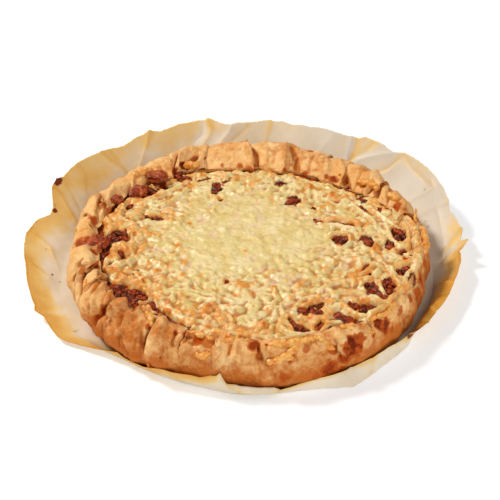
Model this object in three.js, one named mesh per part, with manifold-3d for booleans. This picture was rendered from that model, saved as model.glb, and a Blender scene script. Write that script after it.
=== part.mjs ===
// A round savoury pie: a shortcrust shell whose rim is folded inwards in pleats, a minced meat filling, a lid
// of melted cheese with holes baked into it, lumps of meat that lie on the rim, and the sheet of baking paper
// under it all. Millimetres, +Z up. The origin is on the pie's axis, on the underside of the paper. Azimuths
// are in degrees from +X (right) towards +Y (back), so the front of the pie is at 270.

import * as THREE from 'three';
import { mergeVertices } from 'three/addons/utils/BufferGeometryUtils.js';
import Module from 'manifold-3d';

// ---------------------------------------------------------------- driving dimensions

const PAPER_THICKNESS = 0.8;
const CLEARANCE = 0.35;
const CRUST_BOTTOM = 1.15;
const BASE_THICKNESS = 4;
const FLAT_RADIUS = 100;

const BULGE = { radius: 138, height: 13 };
const SHOULDER_FOOT = { radius: 134.2, height: 28 };
const INNER_TOP = { radius: 127, height: 29.6 };
const FILLING_TOP = 29.2;
const LIP_THICKNESS = 4;
const PLEAT_PUFF = 0.7;
const WRINKLE = 0.35;
const CREASE_HALF_GAP = 0.3;
const LIP_TURN = 0.85;
const LIP_ROW = 4;
const PLEAT_COLUMN_STEP = 4.6;

const CHEESE_LEVEL = 32.5;
const CHEESE_COVER = 1.9;
const CHEESE_EDGE_THICKNESS = 1.0;
const CHEESE_COLUMNS = 76;
const CHEESE_SOLE = 26;
const HOLE_FLOOR = 24;
const HOLE_CEILING = 60;
const HOLE_CORNERS = 7;

const FILLING_COLUMNS = 60;
const FILLING_INSET = 0.45;
const MINCE_RADIUS = 4;
const MINCE_SPACING = 12;

const PAPER_COLUMN_STEP = 4.6;
const PAPER_CREASE = 1.3;

// Outer wall from the base up. share is how much of a pleat's overlap stands out there, and turn how far the
// crease has swung, as a share of the pleat's lean.
const WALL = [
  { radius: 127.5, height: CRUST_BOTTOM, share: 0, turn: -0.5 },
  { radius: 132.3, height: 4, share: 0.15, turn: -0.48 },
  { radius: BULGE.radius, height: BULGE.height, share: 0.55, turn: -0.38 },
  { radius: 137.4, height: 21.5, share: 0.85, turn: -0.25 },
  { radius: SHOULDER_FOOT.radius, height: SHOULDER_FOOT.height, share: 1, turn: -0.15 },
];

// Inner wall from under the fold down to the base.
const INNER_WALL = [
  { radius: INNER_TOP.radius, height: INNER_TOP.height },
  { radius: 132.4, height: 18 },
  { radius: 129.6, height: CRUST_BOTTOM + BASE_THICKNESS },
];

// Height of the rim's crown round the pie.
const CROWN_HEIGHT = [
  { at: 0, value: 33.6 },
  { at: 35, value: 37 },
  { at: 90, value: 39 },
  { at: 135, value: 37 },
  { at: 200, value: 37.2 },
  { at: 250, value: 36.6 },
  { at: 290, value: 35.4 },
  { at: 330, value: 33.2 },
];

// The pleats, in order round the rim. at is the azimuth of the crease that starts one, lip the radius of its
// inner edge at its two ends, proud how far it stands out there, and lean how far its creases swing inwards.
const PLEATS = [
  { at: 3, lip: [123, 121], proud: [0.3, 0], lean: 0 },
  { at: 13, lip: [117, 116], proud: [1.6, 0.4], lean: 0 },
  { at: 22, lip: [114, 112], proud: [-1.2, -0.6], lean: -2 },
  { at: 33, lip: [112, 108], proud: [0.5, 3.6], lean: -3 },
  { at: 41, lip: [105, 102], proud: [2.6, -0.8], lean: -5 },
  { at: 50, lip: [101, 99], proud: [0.6, -0.6], lean: -5 },
  { at: 58.5, lip: [99, 98], proud: [0.9, -0.6], lean: -3 },
  { at: 70, lip: [98, 95], proud: [-0.4, 2.6], lean: -1 },
  { at: 77.5, lip: [96, 99], proud: [1.8, -1.1], lean: 0 },
  { at: 91, lip: [94, 99], proud: [2.5, -1.4], lean: 1 },
  { at: 106, lip: [104, 106], proud: [-0.2, 3.9], lean: 4 },
  { at: 114, lip: [107, 104], proud: [3.4, 0.6], lean: 7 },
  { at: 121, lip: [102, 106], proud: [1.2, -2.4], lean: 5 },
  { at: 131, lip: [109, 112], proud: [-2.6, -2.8], lean: 3 },
  { at: 143, lip: [112, 113], proud: [-0.4, -1.2], lean: 2 },
  { at: 153, lip: [114, 116], proud: [3.8, 0], lean: 6 },
  { at: 164, lip: [114, 113], proud: [0.8, -0.6], lean: 3 },
  { at: 177, lip: [113, 112], proud: [-1.2, -1.2], lean: 0 },
  { at: 190, lip: [111, 112], proud: [1.6, -0.2], lean: -2 },
  { at: 201, lip: [112, 113], proud: [1.6, -0.2], lean: -3 },
  { at: 208, lip: [113, 117.5], proud: [1.2, -1.6], lean: -3 },
  { at: 223.5, lip: [118.5, 118], proud: [2.6, 0.3], lean: -3 },
  { at: 230.5, lip: [110.5, 112], proud: [2.4, -0.3], lean: -2 },
  { at: 240.5, lip: [110, 114], proud: [3.5, 0.2], lean: -3 },
  { at: 250, lip: [116, 119], proud: [1.2, -0.2], lean: -1 },
  { at: 260, lip: [119, 121], proud: [1.4, -0.2], lean: 1 },
  { at: 272, lip: [120, 121], proud: [1.2, -0.2], lean: 0 },
  { at: 284, lip: [121, 123], proud: [1, -0.4], lean: 0 },
  { at: 297, lip: [123, 125], proud: [1.4, -0.2], lean: 0 },
  { at: 309, lip: [125, 125.5], proud: [0.9, -0.1], lean: 0 },
  { at: 322, lip: [125, 124.5], proud: [0.6, -0.3], lean: 0 },
  { at: 341, lip: [124, 123.5], proud: [0.6, -0.2], lean: 0 },
];

// How far the cheese reaches past the lip of the crust (negative: it stops short and the filling shows).
const CHEESE_REACH = [
  { at: 0, value: 6.5 },
  { at: 10, value: 6 },
  { at: 17, value: 2 },
  { at: 24, value: -1.2 },
  { at: 125, value: -1.6 },
  { at: 165, value: -1 },
  { at: 180, value: -5 },
  { at: 200, value: -1.2 },
  { at: 219, value: -3 },
  { at: 232, value: 3 },
  { at: 240, value: -1 },
  { at: 256, value: -1 },
  { at: 264, value: 3.4 },
  { at: 271, value: -0.8 },
  { at: 280, value: 4.5 },
  { at: 290, value: 2 },
  { at: 301, value: -1.5 },
  { at: 309, value: 4.6 },
  { at: 330, value: 6 },
];

// Holes baked into the cheese: centre, length, width and the turn of the long side.
const HOLES = [
  { x: -23, y: 73, length: 17, width: 5, turn: 33 },
  { x: 26, y: 76, length: 8, width: 6, turn: 0 },
  { x: 34.5, y: 52, length: 10, width: 8, turn: 90 },
  { x: 70, y: 20, length: 22, width: 3.6, turn: -14 },
  { x: 69, y: -1, length: 9, width: 8, turn: 0 },
  { x: 89, y: -2, length: 10, width: 6, turn: 80 },
  { x: 112, y: 7, length: 12, width: 9, turn: 80 },
  { x: 105, y: -6, length: 8, width: 4.4, turn: 70 },
  { x: 84, y: -38, length: 11, width: 6, turn: 63 },
  { x: 112, y: -36, length: 12, width: 6, turn: 55 },
  { x: 117, y: -51, length: 12, width: 6, turn: 70 },
  { x: 88, y: -61, length: 17, width: 8, turn: 100 },
  { x: 101, y: -58, length: 20, width: 8, turn: 92 },
  { x: 79, y: -81, length: 14, width: 9, turn: 10 },
  { x: 45, y: -85, length: 18, width: 11, turn: 55 },
  { x: 70, y: -100, length: 26, width: 9, turn: -28 },
  { x: 49, y: -101, length: 8, width: 6, turn: 0 },
  { x: 28, y: -98, length: 11, width: 4, turn: 20 },
  { x: -70, y: 26, length: 11, width: 4, turn: -10 },
  { x: -85, y: -67, length: 31, width: 18, turn: -42 },
  { x: -62, y: -85, length: 14, width: 6, turn: -20 },
  { x: -101, y: 2, length: 21, width: 15, turn: 80 },
  { x: -83, y: 65, length: 17, width: 11, turn: -25 },
  { x: -53, y: 87, length: 10, width: 6, turn: 25 },
];

// Lumps of meat that lie on the rim: centre, half sizes and turn.
const MEAT_LUMPS = [
  { x: -72, y: 77, z: 36.6, half: [8.6, 6, 4.4], turn: -35 },
  { x: -86, y: 59, z: 34.6, half: [8, 5.6, 4.2], turn: 30 },
  { x: -102, y: 48, z: 35, half: [4.8, 3.8, 3.2], turn: 20 },
  { x: -112, y: -9.5, z: 35, half: [8.8, 6.4, 3.2], turn: 5 },
];

// Drops of cheese that ran onto the outside of the crust: azimuth, height and half sizes.
const CHEESE_DROPS = [
  { at: 276, height: 28.6, half: [2.6, 2, 2.4] },
  { at: 281.5, height: 29.4, half: [5.2, 1.9, 2.8] },
  { at: 256, height: 29.2, half: [4.4, 1.8, 3] },
  { at: 239.6, height: 23.2, half: [2.8, 1.7, 2.6] },
  { at: 306.5, height: 29.5, half: [2.8, 2, 2.2] },
];

// The sheet of paper: fold is the radius where it leaves the floor, and reach and lift are the radius and the
// height of its edge. It hugs the crust at the front and lies open, with a torn edge, at the sides and back.
const PAPER = [
  { at: 0, fold: 140, reach: 160, lift: 17 },
  { at: 5.4, fold: 140, reach: 169.5, lift: 16 },
  { at: 8, fold: 140, reach: 165, lift: 16 },
  { at: 18, fold: 140, reach: 165.5, lift: 21 },
  { at: 25, fold: 140, reach: 171.5, lift: 29 },
  { at: 38, fold: 139, reach: 175.5, lift: 32 },
  { at: 46, fold: 139, reach: 170.5, lift: 31 },
  { at: 56, fold: 139, reach: 175, lift: 32 },
  { at: 60, fold: 139, reach: 169, lift: 31 },
  { at: 78, fold: 139, reach: 171.5, lift: 32 },
  { at: 83, fold: 139, reach: 175, lift: 32 },
  { at: 95, fold: 139, reach: 168.5, lift: 31.5 },
  { at: 101, fold: 139, reach: 179.5, lift: 32.5 },
  { at: 118, fold: 139, reach: 175.5, lift: 31.5 },
  { at: 126, fold: 139, reach: 171, lift: 30 },
  { at: 132, fold: 139, reach: 173, lift: 32 },
  { at: 148, fold: 140, reach: 174, lift: 31.5 },
  { at: 153, fold: 140, reach: 175, lift: 24 },
  { at: 159, fold: 140, reach: 165.5, lift: 15 },
  { at: 168, fold: 141, reach: 175, lift: 14 },
  { at: 180, fold: 141, reach: 169, lift: 12.5 },
  { at: 191, fold: 142, reach: 165.5, lift: 10 },
  { at: 200, fold: 143, reach: 163.5, lift: 8 },
  { at: 207, fold: 143, reach: 159.5, lift: 5 },
  { at: 216, fold: 140, reach: 151, lift: 3.2 },
  { at: 223, fold: 137.5, reach: 142.8, lift: 3.6 },
  { at: 231, fold: 133.6, reach: 138, lift: 5.5 },
  { at: 240, fold: 133.6, reach: 139.4, lift: 7.5 },
  { at: 248, fold: 134, reach: 141.4, lift: 13 },
  { at: 257, fold: 135, reach: 141.8, lift: 14 },
  { at: 262, fold: 136.6, reach: 142, lift: 17 },
  { at: 266, fold: 138, reach: 142, lift: 13.4 },
  { at: 278, fold: 138.6, reach: 141.4, lift: 9 },
  { at: 284, fold: 138.2, reach: 141.6, lift: 7.4 },
  { at: 290, fold: 139.2, reach: 142, lift: 9 },
  { at: 298.6, fold: 147, reach: 146.5, lift: 11.5 },
  { at: 308, fold: 142.5, reach: 143.5, lift: 11.5 },
  { at: 318, fold: 143, reach: 146, lift: 11 },
  { at: 324, fold: 139.6, reach: 148.4, lift: 15 },
  { at: 337, fold: 140, reach: 150.7, lift: 16 },
  { at: 352, fold: 140, reach: 158, lift: 16 },
];

const COLOURS = { crust: 0xd99a55, filling: 0x5a2517, cheese: 0xe9d592, meat: 0x7d3a20, paper: 0xe2cfaa };

// ---------------------------------------------------------------- small tools

const wasm = await Module();
wasm.setup();

const radians = THREE.MathUtils.degToRad;
const lerp = THREE.MathUtils.lerp;
const clamp = THREE.MathUtils.clamp;

/** A repeatable stream of numbers between 0 and 1. */
function randomStream(seed) {
  let state = seed >>> 0;
  return () => {
    state = (Math.imul(state, 1664525) + 1013904223) >>> 0;
    return state / 4294967296;
  };
}

/** A fixed number between -1 and 1 for a point of an integer lattice. */
function latticeValue(i, j, seed) {
  let h = Math.imul(i, 374761393) ^ Math.imul(j, 668265263) ^ Math.imul(seed, 2147483647);
  h = Math.imul(h ^ (h >>> 13), 1274126177);
  h ^= h >>> 16;
  return ((h >>> 0) / 4294967295) * 2 - 1;
}

/** Smooth unevenness between -1 and 1, with bumps about one unit apart. */
function unevenness(x, y, seed) {
  const i = Math.floor(x);
  const j = Math.floor(y);
  const u = THREE.MathUtils.smoothstep(x - i, 0, 1);
  const v = THREE.MathUtils.smoothstep(y - j, 0, 1);
  const near = lerp(latticeValue(i, j, seed), latticeValue(i + 1, j, seed), u);
  const far = lerp(latticeValue(i, j + 1, seed), latticeValue(i + 1, j + 1, seed), u);
  return lerp(near, far, v);
}

/** The value at an azimuth of one field of a closed table of stations, smooth or straight between them. */
function roundTable(table, azimuth, field = 'value', smooth = true) {
  const angle = ((azimuth % 360) + 360) % 360;
  let k = table.findIndex((station) => station.at > angle);
  k = (k <= 0 ? table.length : k) - 1;
  const from = table[k];
  const to = table[(k + 1) % table.length];
  const width = (to.at - from.at + 360) % 360;
  const share = ((angle - from.at + 360) % 360) / width;
  return lerp(from[field], to[field], smooth ? THREE.MathUtils.smoothstep(share, 0, 1) : share);
}

/** A point given by azimuth, radius and height. */
function polar(azimuth, radius, height) {
  const angle = radians(azimuth);
  return new THREE.Vector3(radius * Math.cos(angle), radius * Math.sin(angle), height);
}

/** A closed geometry from rings of points, each joined to the next, with the first and last ring capped. */
function loftGeometry(rings) {
  const count = rings[0].length;
  const positions = rings.flatMap((ring) => ring.flatMap((point) => point.toArray()));
  const index = [];
  for (let i = 0; i + 1 < rings.length; i += 1) {
    for (let j = 0; j < count; j += 1) {
      const next = (j + 1) % count;
      const [a, b, c, d] = [i * count + j, i * count + next, (i + 1) * count + next, (i + 1) * count + j];
      index.push(a, b, c, a, c, d);
    }
  }
  const flat = (ring) => ring.map((point) => new THREE.Vector2(point.x, point.y));
  for (const [a, b, c] of THREE.ShapeUtils.triangulateShape(flat(rings[0]), [])) {
    index.push(a, c, b);
  }
  const last = (rings.length - 1) * count;
  for (const [a, b, c] of THREE.ShapeUtils.triangulateShape(flat(rings[rings.length - 1]), [])) {
    index.push(last + a, last + b, last + c);
  }
  const geometry = new THREE.BufferGeometry();
  geometry.setAttribute('position', new THREE.Float32BufferAttribute(positions, 3));
  geometry.setIndex(index);
  return geometry;
}

/** The solid of a closed geometry, ready to be joined or cut. */
function solidOf(geometry) {
  return new wasm.Manifold(new wasm.Mesh({
    numProp: 3,
    vertProperties: Float32Array.from(geometry.attributes.position.array),
    triVerts: Uint32Array.from(geometry.index.array),
  }));
}

/** The largest separate piece of a solid, so that no loose scrap stays beside it. */
function largestPiece(solid) {
  const pieces = solid.decompose();
  return pieces.reduce((best, piece) => (piece.volume() > best.volume() ? piece : best));
}

/** A named mesh with its own material from a solid. */
function meshOf(solid, name, colour, roughness) {
  const { vertProperties, triVerts } = solid.getMesh();
  const geometry = new THREE.BufferGeometry();
  geometry.setAttribute('position', new THREE.Float32BufferAttribute(vertProperties, 3));
  geometry.setIndex(Array.from(triVerts));
  geometry.computeVertexNormals();
  const material = new THREE.MeshStandardMaterial({ color: colour, roughness, metalness: 0 });
  const mesh = new THREE.Mesh(geometry, material);
  mesh.name = name;
  return mesh;
}

/** An uneven rounded lump: a ball of few sides, stretched, dented, turned and set in place. */
function lumpSolid({ centre, half, turn = 0, tilt = 0, seed = 1, dent = 0.14, detail = 1 }) {
  const ball = new THREE.IcosahedronGeometry(1, detail);
  ball.deleteAttribute('normal');
  ball.deleteAttribute('uv');
  const geometry = mergeVertices(ball, 1e-4);
  const point = new THREE.Vector3();
  for (let i = 0; i < geometry.attributes.position.count; i += 1) {
    point.fromBufferAttribute(geometry.attributes.position, i);
    const bump = 1 + dent * unevenness(2.1 * point.x + 7 * point.z + seed, 2.1 * point.y - seed, seed);
    point.multiplyScalar(bump).multiply(new THREE.Vector3(...half));
    point.applyEuler(new THREE.Euler(radians(tilt), 0, radians(turn)));
    point.add(centre);
    geometry.attributes.position.setXYZ(i, point.x, point.y, point.z);
  }
  return solidOf(geometry);
}

// ---------------------------------------------------------------- crust

/** How the pleated rim stands at an azimuth: the pleat it is in, and its lip, proud edge, crown and lean. */
function rimAt(azimuth) {
  const angle = ((azimuth % 360) + 360) % 360;
  let k = PLEATS.findIndex((pleat) => pleat.at > angle);
  k = (k <= 0 ? PLEATS.length : k) - 1;
  const pleat = PLEATS[k];
  const width = (PLEATS[(k + 1) % PLEATS.length].at - pleat.at + 360) % 360;
  const share = ((angle - pleat.at + 360) % 360) / width;
  const puff = PLEAT_PUFF * Math.sin(Math.PI * share);
  const lip = lerp(pleat.lip[0], pleat.lip[1], share);
  const proud = lerp(pleat.proud[0], pleat.proud[1], share) + puff;
  const crownHeight = roundTable(CROWN_HEIGHT, azimuth) + 0.8 * proud;
  const crownRadius = clamp(lip + 4.5, 123.5, 128.5) + 0.4 * proud;
  const lipHeight = Math.min(INNER_TOP.height + LIP_THICKNESS, crownHeight - 0.8);
  return { lip, proud, crownHeight, crownRadius, lipHeight };
}

/** The rows of the rim from the shoulder over the crown to the lip: radius, height and crease swing. */
function rimRows(rim) {
  const { lip, crownRadius, crownHeight, lipHeight, proud } = rim;
  const foldWidth = crownRadius - lip;
  return [
    {
      radius: lerp(SHOULDER_FOOT.radius + proud, crownRadius, 0.32),
      height: lerp(SHOULDER_FOOT.height, crownHeight, 0.62),
      turn: -0.08,
    },
    { radius: crownRadius, height: crownHeight, turn: 0 },
    { radius: lip + 0.6 * foldWidth, height: lerp(lipHeight, crownHeight, 0.8), turn: 0.4 },
    { radius: lip + Math.min(2.5, 0.3 * foldWidth), height: lipHeight + 0.3 * proud * 0.5, turn: 0.9 },
    { radius: lip, height: lipHeight - 1.9, turn: 1 },
  ];
}

/** Which way the step at the start of a pleat moves when the dough on its high side grows, at lip and crown. */
function creaseGrowth(k) {
  const before = PLEATS[(k + PLEATS.length - 1) % PLEATS.length];
  const after = PLEATS[k % PLEATS.length];
  return { lip: Math.sign(after.lip[0] - before.lip[1]), crown: Math.sign(before.proud[1] - after.proud[0]) };
}

/** The crust's columns: the two sides of every crease, and even steps between them. */
function crustColumns() {
  return PLEATS.flatMap((pleat, k) => {
    const width = (PLEATS[(k + 1) % PLEATS.length].at - pleat.at + 360) % 360;
    const steps = Math.max(2, Math.round(width / PLEAT_COLUMN_STEP));
    const inner = width - 2 * CREASE_HALF_GAP;
    return Array.from({ length: steps + 1 }, (_, i) => ({
      azimuth: pleat.at + CREASE_HALF_GAP + (inner * i) / steps,
      growth: { 0: creaseGrowth(k), [steps]: creaseGrowth(k + 1) }[i] ?? { lip: 0, crown: 0 },
    }));
  });
}

/** Swing of the creases at an azimuth, blended from pleat to pleat. */
function leanAt(azimuth) {
  return roundTable(PLEATS, azimuth, 'lean');
}

/** The crust's solid, with every face moved outwards by grow. */
function crustSolid(grow = 0) {
  const random = randomStream(41);
  const swing = THREE.MathUtils.radToDeg(grow / FLAT_RADIUS);
  const columns = crustColumns().map(({ azimuth, growth }) => {
    const rim = rimAt(azimuth);
    const wrinkle = WRINKLE * (2 * random() - 1);
    const lean = leanAt(azimuth);
    const wall = WALL.map(({ radius, height, share, turn }, row) => ({
      radius: radius + share * (rim.proud + wrinkle) + grow,
      height: row === 0 ? height - grow : height,
      turn,
    }));
    const top = rimRows(rim).map(({ radius, height, turn }, row) => ({
      radius: radius + (row === 0 ? grow : 0) - (row === LIP_ROW ? grow : 0),
      height: height + wrinkle + (row === LIP_ROW ? 0 : grow),
      turn,
    }));
    const under = [
      { radius: rim.lip + 1.5 - grow, height: INNER_TOP.height - grow, turn: 1 },
      ...INNER_WALL.map(({ radius, height }, row) => ({
        radius: radius - grow,
        height: row === 0 ? height - grow : height + (row === INNER_WALL.length - 1 ? grow : 0),
        turn: 0,
      })),
    ];
    return [
      { radius: FLAT_RADIUS, height: CRUST_BOTTOM - grow, turn: 0 },
      ...wall,
      ...top,
      ...under,
      { radius: FLAT_RADIUS, height: CRUST_BOTTOM + BASE_THICKNESS + grow, turn: 0 },
    ].map(({ radius, height, turn }) => {
      const step = turn < LIP_TURN ? growth.crown * Math.min(1, turn + 0.5) : growth.lip;
      return polar(azimuth + lean * turn + swing * step, radius, height);
    });
  });
  const rings = columns[0].map((_, row) => columns.map((column) => column[row]));
  return solidOf(loftGeometry(rings));
}

/** Radius of the outside of the crust at an azimuth and a height. */
function wallRadius(azimuth, height) {
  const rows = [...WALL, { radius: SHOULDER_FOOT.radius - 4, height: SHOULDER_FOOT.height + 6, share: 1 }];
  const k = clamp(rows.findIndex((row) => row.height > height), 1, rows.length - 1);
  const share = (height - rows[k - 1].height) / (rows[k].height - rows[k - 1].height);
  return lerp(rows[k - 1].radius, rows[k].radius, share) + rows[k].share * rimAt(azimuth).proud;
}

/** The crust with the drops of cheese that stuck to its outside. */
function crustWithDrops() {
  return CHEESE_DROPS.reduce((crust, { at, height, half }, k) => crust.add(lumpSolid({
    centre: polar(at, wallRadius(at, height), height),
    half,
    turn: at + 90,
    seed: 60 + k,
  })), crustSolid());
}

// ---------------------------------------------------------------- cheese

/** Height of the top of the rim at an azimuth and a radius, or nothing inside the lip. */
function rimTop(azimuth, radius) {
  const rows = rimRows(rimAt(azimuth - leanAt(azimuth))).slice(0, 4);
  if (radius < rows[3].radius) {
    return -Infinity;
  }
  const k = clamp(rows.findIndex((row) => row.radius < radius), 1, 3);
  const share = clamp((radius - rows[k].radius) / (rows[k - 1].radius - rows[k].radius), 0, 1);
  return lerp(rows[k].height, rows[k - 1].height, share);
}

/** Radius of the cheese's ragged edge. */
function cheeseEdge(azimuth) {
  const lip = rimAt(azimuth - leanAt(azimuth)).lip;
  const reach = roundTable(CHEESE_REACH, azimuth);
  const ragged = 1.1 * unevenness(azimuth / 4, 0, 11);
  return lip + reach + (reach < 0 ? -Math.abs(ragged) : ragged);
}

/** Height of the cheese's top: nearly smooth in the middle, lumpy near the rim, over the crust where it ran. */
function cheeseTop(azimuth, radius, share) {
  const { x, y } = polar(azimuth, radius, 0);
  const lumpiness = THREE.MathUtils.smoothstep(radius, 30, 95);
  const broad = 0.6 * unevenness(x / 17, y / 17, 3);
  const relief = broad + (0.3 + 1.1 * lumpiness) * unevenness(x / 8, y / 8, 5);
  const cover = lerp(CHEESE_COVER, CHEESE_EDGE_THICKNESS, THREE.MathUtils.smoothstep(share, 0.95, 1));
  return Math.max(CHEESE_LEVEL + relief, rimTop(azimuth, radius) + cover + 0.3 * relief);
}

/** A prism with ragged sides that cuts a hole, drawn in by inset. */
function holePrism({ x, y, length, width, turn }, seed, inset) {
  const random = randomStream(seed);
  const outline = Array.from({ length: HOLE_CORNERS }, (_, i) => {
    const angle = (2 * Math.PI * (i + 0.5 * random())) / HOLE_CORNERS;
    const ragged = 0.82 + 0.36 * random();
    return new THREE.Vector2(
      Math.max(0.3, 0.5 * length * ragged - inset) * Math.cos(angle),
      Math.max(0.3, 0.5 * width * ragged - inset) * Math.sin(angle),
    ).rotateAround(new THREE.Vector2(), radians(turn));
  });
  const ring = (height) => outline.map((point) => new THREE.Vector3(x + point.x, y + point.y, height));
  return solidOf(loftGeometry([ring(HOLE_FLOOR), ring(HOLE_CEILING)]));
}

// Shares of the way from the middle to the edge where the rings of the cheese lie. Each is swung half a column.
const CHEESE_RINGS = [1, 0.96, 0.91, 0.85, 0.77, 0.67, 0.56, 0.43, 0.28, 0.11];

/** The cheese before anything is cut from it: a thick lid with a flat sole. */
function cheeseBlank() {
  const step = 360 / CHEESE_COLUMNS;
  const azimuths = Array.from({ length: CHEESE_COLUMNS }, (_, j) => j * step);
  const sole = azimuths.map((azimuth) => polar(azimuth, cheeseEdge(azimuth), CHEESE_SOLE));
  const tops = CHEESE_RINGS.map((share, ring) => azimuths.map((azimuth) => {
    const swung = azimuth + 0.5 * step * ring;
    const radius = share * cheeseEdge(swung);
    return polar(swung, radius, cheeseTop(swung, radius, share));
  }));
  return solidOf(loftGeometry([sole, ...tops]));
}

/** The lid of cheese, lying on the filling and the rim, with its holes. */
function cheeseSolid() {
  const lid = cheeseBlank()
    .subtract(crustSolid(CLEARANCE))
    .subtract(fillingCore(CLEARANCE))
    .subtract(wasm.Manifold.union(MEAT_LUMPS.map((lump, k) => meatBlank(lump, k, CLEARANCE))));
  return largestPiece(lid.subtract(wasm.Manifold.union(HOLES.map((hole, k) => holePrism(hole, 100 + k, 0)))));
}

// ---------------------------------------------------------------- filling and meat

/** The filling without its lumps, filling the crust up to the level under the cheese. */
function fillingCore(grow = 0) {
  const azimuths = Array.from({ length: FILLING_COLUMNS }, (_, j) => (360 * j) / FILLING_COLUMNS);
  const ring = (radius, height) => azimuths.map((azimuth) => polar(azimuth, radius, height));
  const side = INNER_WALL.map(({ radius, height }, row) => {
    const shift = { 0: FILLING_TOP - height + grow, 2: FILLING_INSET - grow }[row] ?? 0;
    return ring(radius - FILLING_INSET + grow, height + shift);
  });
  return solidOf(loftGeometry(side.reverse()));
}

/** The lumps of mince that show in one hole, kept clear of the cheese round it. */
function minceIn(hole, seed) {
  const random = randomStream(seed);
  const count = clamp(Math.round((hole.length * hole.width) / MINCE_SPACING ** 2), 1, 8);
  const along = new THREE.Vector2(1, 0).rotateAround(new THREE.Vector2(), radians(hole.turn));
  const lumps = Array.from({ length: count }, (_, i) => {
    const offset = count === 1 ? 0 : ((i + 0.5) / count - 0.5) * (hole.length - 2);
    const side = (random() - 0.5) * (hole.width - 3);
    const size = MINCE_RADIUS * (0.75 + 0.5 * random());
    return lumpSolid({
      centre: new THREE.Vector3(
        hole.x + along.x * offset - along.y * side,
        hole.y + along.y * offset + along.x * side,
        FILLING_TOP + 0.2,
      ),
      half: [size * 1.15, size * 0.9, 1.5 + 0.9 * random()],
      turn: 180 * random(),
      seed: seed + i,
    });
  });
  return wasm.Manifold.union(lumps).intersect(holePrism(hole, seed, 0.6));
}

/** The filling, with the mince that shows through the cheese fused on. */
function fillingSolid() {
  const mince = wasm.Manifold.union(HOLES.map((hole, k) => minceIn(hole, 100 + k)))
    .subtract(crustSolid(CLEARANCE))
    .subtract(wasm.Manifold.union(MEAT_LUMPS.map((lump, k) => meatBlank(lump, k, CLEARANCE))));
  return largestPiece(fillingCore().add(mince));
}

/** A lump of meat on the rim, before what it lies on is cut from it. */
function meatBlank({ x, y, z, half, turn }, k, grow = 0) {
  return lumpSolid({
    centre: new THREE.Vector3(x, y, z),
    half: half.map((size) => size + 1.3 * grow),
    turn,
    seed: 20 + k,
    dent: 0.2,
    detail: 2,
  });
}

/** A lump of meat, resting on the crust and the filling. */
function meatSolid(lump, k) {
  return largestPiece(meatBlank(lump, k).subtract(crustSolid(CLEARANCE)).subtract(fillingCore(CLEARANCE)));
}

// ---------------------------------------------------------------- paper

/** Azimuths of the paper's columns: every station, and even steps between them. */
function paperAzimuths() {
  return PAPER.flatMap((station, k) => {
    const width = (PAPER[(k + 1) % PAPER.length].at - station.at + 360) % 360;
    const steps = Math.max(1, Math.round(width / PAPER_COLUMN_STEP));
    return Array.from({ length: steps }, (_, i) => station.at + (width * i) / steps);
  });
}

const PAPER_RISE = [0.12, 0.4, 0.7, 1];

/** The sheet of paper: flat under the pie, turned up round it, creased along its radii. */
function paperSolid() {
  const random = randomStream(77);
  const columns = paperAzimuths().map((azimuth) => {
    const [fold, reach, lift] = ['fold', 'reach', 'lift'].map((field) => roundTable(PAPER, azimuth, field, false));
    const open = THREE.MathUtils.smoothstep(reach - fold, 8, 24);
    const crease = PAPER_CREASE * open * (2 * random() - 1);
    const bottom = PAPER_RISE.map((share) => ({
      radius: lerp(fold, reach, share),
      height: lift * share ** lerp(1, 1.35, open) + crease * share,
    }));
    const slope = Math.atan2(lift, Math.max(0.5, reach - fold));
    const top = bottom.map(({ radius, height }) => ({
      radius: radius - PAPER_THICKNESS * Math.sin(slope),
      height: height + PAPER_THICKNESS * Math.cos(slope),
    }));
    return [
      { radius: FLAT_RADIUS, height: 0 },
      { radius: fold, height: 0 },
      ...bottom,
      ...top.reverse(),
      { radius: fold - PAPER_THICKNESS * Math.tan(slope / 2), height: PAPER_THICKNESS },
      { radius: FLAT_RADIUS, height: PAPER_THICKNESS },
    ].map(({ radius, height }) => polar(azimuth, radius, height));
  });
  const rings = columns[0].map((_, row) => columns.map((column) => column[row]));
  return solidOf(loftGeometry(rings));
}

// ---------------------------------------------------------------- the pie

const pie = new THREE.Group();
pie.add(meshOf(crustWithDrops(), 'crust', COLOURS.crust, 0.7));
pie.add(meshOf(fillingSolid(), 'filling', COLOURS.filling, 0.35));
pie.add(meshOf(cheeseSolid(), 'cheese', COLOURS.cheese, 0.4));
MEAT_LUMPS.forEach((lump, k) => {
  pie.add(meshOf(meatSolid(lump, k), `meat_lump_${k + 1}`, COLOURS.meat, 0.4));
});
pie.add(meshOf(paperSolid(), 'paper', COLOURS.paper, 0.8));

export default pie;
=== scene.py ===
"""A round savoury pie on its sheet of baking paper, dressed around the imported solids.

Tables and sizes are in millimetres and degrees, and meshes are written in metres. An azimuth runs from +X
(the right) towards +Y (the back), so the front of the pie is at 270. The pie's axis is the Z axis.
"""

import logging
import math
from dataclasses import dataclass, field
from enum import Enum
from itertools import product

import bpy
import numpy as np
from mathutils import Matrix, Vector


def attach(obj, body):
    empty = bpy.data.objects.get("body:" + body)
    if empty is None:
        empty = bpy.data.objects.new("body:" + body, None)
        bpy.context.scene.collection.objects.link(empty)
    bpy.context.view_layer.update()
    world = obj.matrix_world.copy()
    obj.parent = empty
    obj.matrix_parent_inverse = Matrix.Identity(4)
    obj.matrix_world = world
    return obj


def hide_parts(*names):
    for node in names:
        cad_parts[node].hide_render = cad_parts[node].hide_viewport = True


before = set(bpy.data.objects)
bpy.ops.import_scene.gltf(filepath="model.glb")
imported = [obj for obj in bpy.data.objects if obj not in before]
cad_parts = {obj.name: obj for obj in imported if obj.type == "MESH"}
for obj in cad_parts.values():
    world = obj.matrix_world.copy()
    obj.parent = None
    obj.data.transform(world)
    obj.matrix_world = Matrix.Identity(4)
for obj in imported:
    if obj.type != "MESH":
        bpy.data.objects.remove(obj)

LOG = logging.getLogger("pie")

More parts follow.
